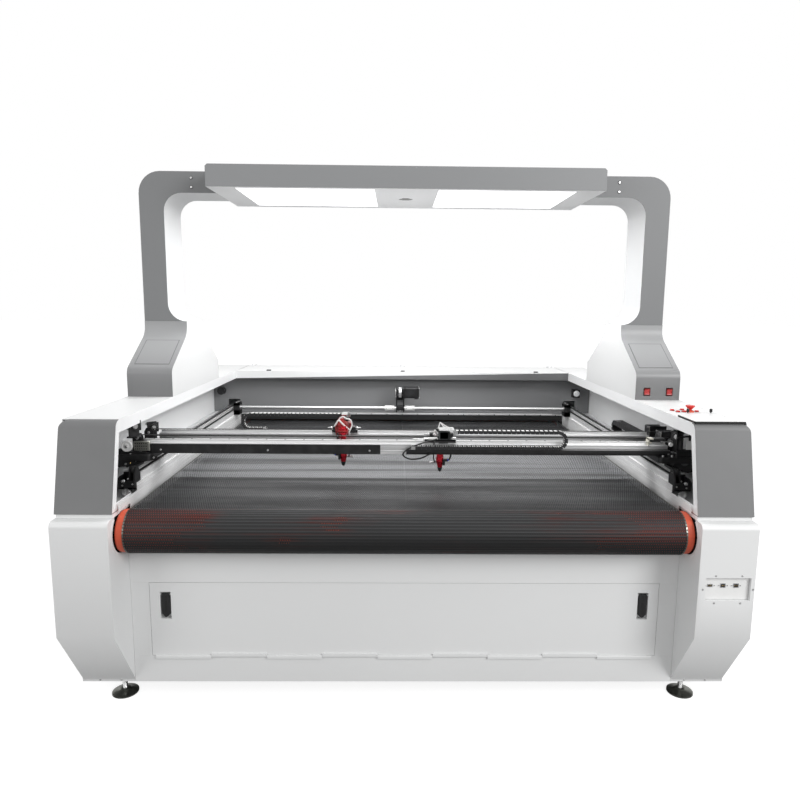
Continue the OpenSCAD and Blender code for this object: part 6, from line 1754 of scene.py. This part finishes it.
class LASER_OT_stage(bpy.types.Operator):
    """Set the floor, the surround, the lamps and the camera"""
    bl_idname = "laser.stage"
    bl_label = "Stage"

    def execute(self, context):
        settings = context.scene.laser_stage
        scene = context.scene
        self.surround(settings)
        self.floor()
        self.lamp("key_lamp", (3.3, -4.0, 2.9), (-0.1, -0.3, 0.7), 2.4, settings.key_power)
        self.lamp("fill_lamp", (-3.4, -3.4, 1.7), (0.1, -0.4, 0.7), 2.4, settings.fill_power)
        self.lamp("top_lamp", (0.2, 0.3, 4.4), (0.0, 0.1, 0.0), 3.0, settings.top_power)
        self.lamp("panel_lamp", (0.0, -0.03, 1.69), (0.0, -0.03, 0.0), 1.25, settings.panel_power, 0.42)
        self.lamp("bounce_lamp", (0.0, -0.1, 1.05), (0.0, -0.1, 2.0), 1.2, settings.panel_power * 0.3, 0.5)
        self.camera(scene, settings)
        scene.view_settings.view_transform = "Standard"
        return {"FINISHED"}

    def surround(self, settings):
        world = bpy.data.worlds.new("surround")
        bpy.context.scene.world = world
        world.use_nodes = True
        world.node_tree.nodes.clear()
        start = Shade(world.node_tree)
        ray = start.node("ShaderNodeLightPath")
        seen = [Shade(world.node_tree, ray.made, name) for name in
                ("Is Camera Ray", "Is Glossy Ray", "Is Transmission Ray")]
        white = seen[0].maths("MAXIMUM", seen[0].maths("MAXIMUM", seen[0], seen[1]), seen[2])
        light = white * (1 - settings.surround) + settings.surround
        sky = start.node("ShaderNodeBackground", sockets={"Color": (1, 1, 1, 1), "Strength": light})
        start.node("ShaderNodeOutputWorld", sockets={"Surface": sky})

    def floor(self):
        data = bpy.data.meshes.new("floor")
        data.from_pydata([(-40, -40, 0), (40, -40, 0), (40, 40, 0), (-40, 40, 0)], [], [(0, 1, 2, 3)])
        made = bpy.data.objects.new("floor", data)
        bpy.context.scene.collection.objects.link(made)
        pale = bpy.data.materials.new("pale_floor")
        pale.use_nodes = True
        pale.node_tree.nodes.clear()
        start = Shade(pale.node_tree)
        matt = start.node("ShaderNodeBsdfDiffuse", sockets={"Color": (0.32, 0.32, 0.32, 1)})
        lift = start.node("ShaderNodeEmission", sockets={"Color": (1, 1, 1, 1), "Strength": 0.86})
        ray = start.node("ShaderNodeLightPath")
        ray.out = "Is Camera Ray"
        glow = start.node("ShaderNodeMixShader", sockets={"Fac": ray, 2: lift})
        both = start.node("ShaderNodeAddShader", sockets={0: matt, 1: glow})
        start.node("ShaderNodeOutputMaterial", sockets={"Surface": both})
        data.materials.append(pale)
        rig.stage(made)

    def lamp(self, name, spot, target, size, power, depth=0):
        data = bpy.data.lights.new(name, "AREA")
        data.shape, data.size, data.energy = "RECTANGLE" if depth else "DISK", size, power
        data.size_y = depth or size
        made = bpy.data.objects.new(name, data)
        made.location = spot
        made.visible_camera = False
        made.rotation_euler = (Vector(target) - Vector(spot)).to_track_quat("-Z", "Y").to_euler()
        bpy.context.scene.collection.objects.link(made)
        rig.stage(made)

    def camera(self, scene, settings):
        data = bpy.data.cameras.new("camera_front")
        data.lens, data.sensor_width, data.shift_x = settings.lens, 36, -0.007
        data.clip_end = 100
        made = bpy.data.objects.new("camera_front", data)
        turn = (Matrix.Rotation(math.radians(-0.865), 4, "Z")
                @ Matrix.Rotation(math.radians(90 - 8.394), 4, "X")
                @ Matrix.Rotation(math.radians(0.51), 4, "Z"))
        made.matrix_world = Matrix.Translation((-0.0349, -2.763, 1.285)) @ turn
        scene.collection.objects.link(made)
        scene.camera = made
        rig.stage(made)


# ---------------------------------------------------------------- the CAD's own sheet metal

# Finish, then the rounding of the edges in metres, then the nodes
PLAIN_FINISHES = {
    "frame": {0.001: "base_frame", 0.0008: "belt_bed"},
    "white": {0.0016: "pod_left", 0.0012: "pod_right tube_lid", 0.001: "front_panel rear_cover",
              0.0008: "front_door", 0.002: "housing_left housing_right pedestals"},
    "cover": {0.003: "grey_covers"},
    "wall": {0.0015: "rear_partition"},
    "arch": {0.0025: "arch", 0.001: "power_box"},
    "box": {0.0025: "light_box"},
    "glow": {0.001: "light_panels"},
    "plastic": {0.001: "camera", 0: "gantry_chain left_head_chain right_head_chain",
                0.0004: "left_knob right_knob"},
    "guard": {0.0006: "side_guards"},
    "mesh": {0: "mesh_belt"},
    "steel": {0.001: "roller_bearings exhaust_duct", 0.0003: "fasteners", 0.0005: "drive_shaft",
              0: "left_y_idler right_y_idler rear_x_pulley front_x_pulley rear_x_idler front_x_idler"},
    "rail_y": {0.0008: "side_beams"},
    "belt": {0: "y_belts x_belts"},
    "black": {0.001: "pulley_brackets", 0.0005: "interface_panel",
              0.0008: "gantry_end_plates gantry_brackets",
              0.0006: "right_head_carriage left_latch right_latch"},
    "motor": {0.001: "drive_motors", 0.0008: "x_motors"},
    "panel": {0.0006: "control_panel"},
    "foot": {0.001: "levelling_feet"},
    "tube_glass": {0.001: "laser_tubes"},
    "rail_x": {0.0008: "gantry_front_beam gantry_rear_beam"},
    "red": {0.0006: "left_head_carriage", 0.0004: "left_head_nozzle right_head_nozzle"},
    "roller": {0.001: "front_roller rear_roller"},
    "button": {0.0005: "emergency_stop", 0.0004: "left_rocker right_rocker"},
}


class LASER_OT_finishes(bpy.types.Operator):
    """Make the finishes and give one to every CAD node"""
    bl_idname = "laser.finishes"
    bl_label = "Finishes"

    def execute(self, context):
        make_finishes(context.scene.laser_finish, context.scene.laser_detail)
        for finish, nodes_by_bevel in PLAIN_FINISHES.items():
            for bevel, nodes in nodes_by_bevel.items():
                for node in nodes.split():
                    dress(node, finish, bevel)
        return {"FINISHED"}


class LASER_PT_pieces(bpy.types.Panel):
    """Lists the operators of the machine"""
    bl_label = "Laser Cutter"
    bl_idname = "LASER_PT_pieces"
    bl_space_type = "VIEW_3D"
    bl_region_type = "UI"
    bl_category = "Laser Cutter"

    def draw(self, context):
        for operator in OPERATORS:
            self.layout.operator(operator.bl_idname)


SETTINGS = {"laser_stage": LaserStageSettings, "laser_finish": LaserFinishSettings,
            "laser_detail": LaserDetailSettings}
OPERATORS = [kind for name, kind in list(globals().items()) if name.startswith("LASER_OT_")]
OPERATORS.sort(key=lambda kind: (kind.bl_idname == "laser.stage", kind.bl_idname != "laser.finishes"))


def register():
    for kind in [*SETTINGS.values(), *OPERATORS, LASER_PT_pieces]:
        bpy.utils.register_class(kind)
    for name, kind in SETTINGS.items():
        setattr(bpy.types.Scene, name, PointerProperty(type=kind))


def unregister():
    for name in SETTINGS:
        delattr(bpy.types.Scene, name)
    for kind in [LASER_PT_pieces, *reversed(OPERATORS), *SETTINGS.values()]:
        bpy.utils.unregister_class(kind)


def main():
    register()
    sizes = {"loaded": CAD_BOX}
    for operator in OPERATORS:
        group, name = operator.bl_idname.split(".")
        getattr(getattr(bpy.ops, group), name)()
    sizes["built"] = [list(corner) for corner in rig.bounds()]
    with open("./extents.json", "w") as file:
        json.dump(sizes, file)


if __name__ == "__main__":
    main()
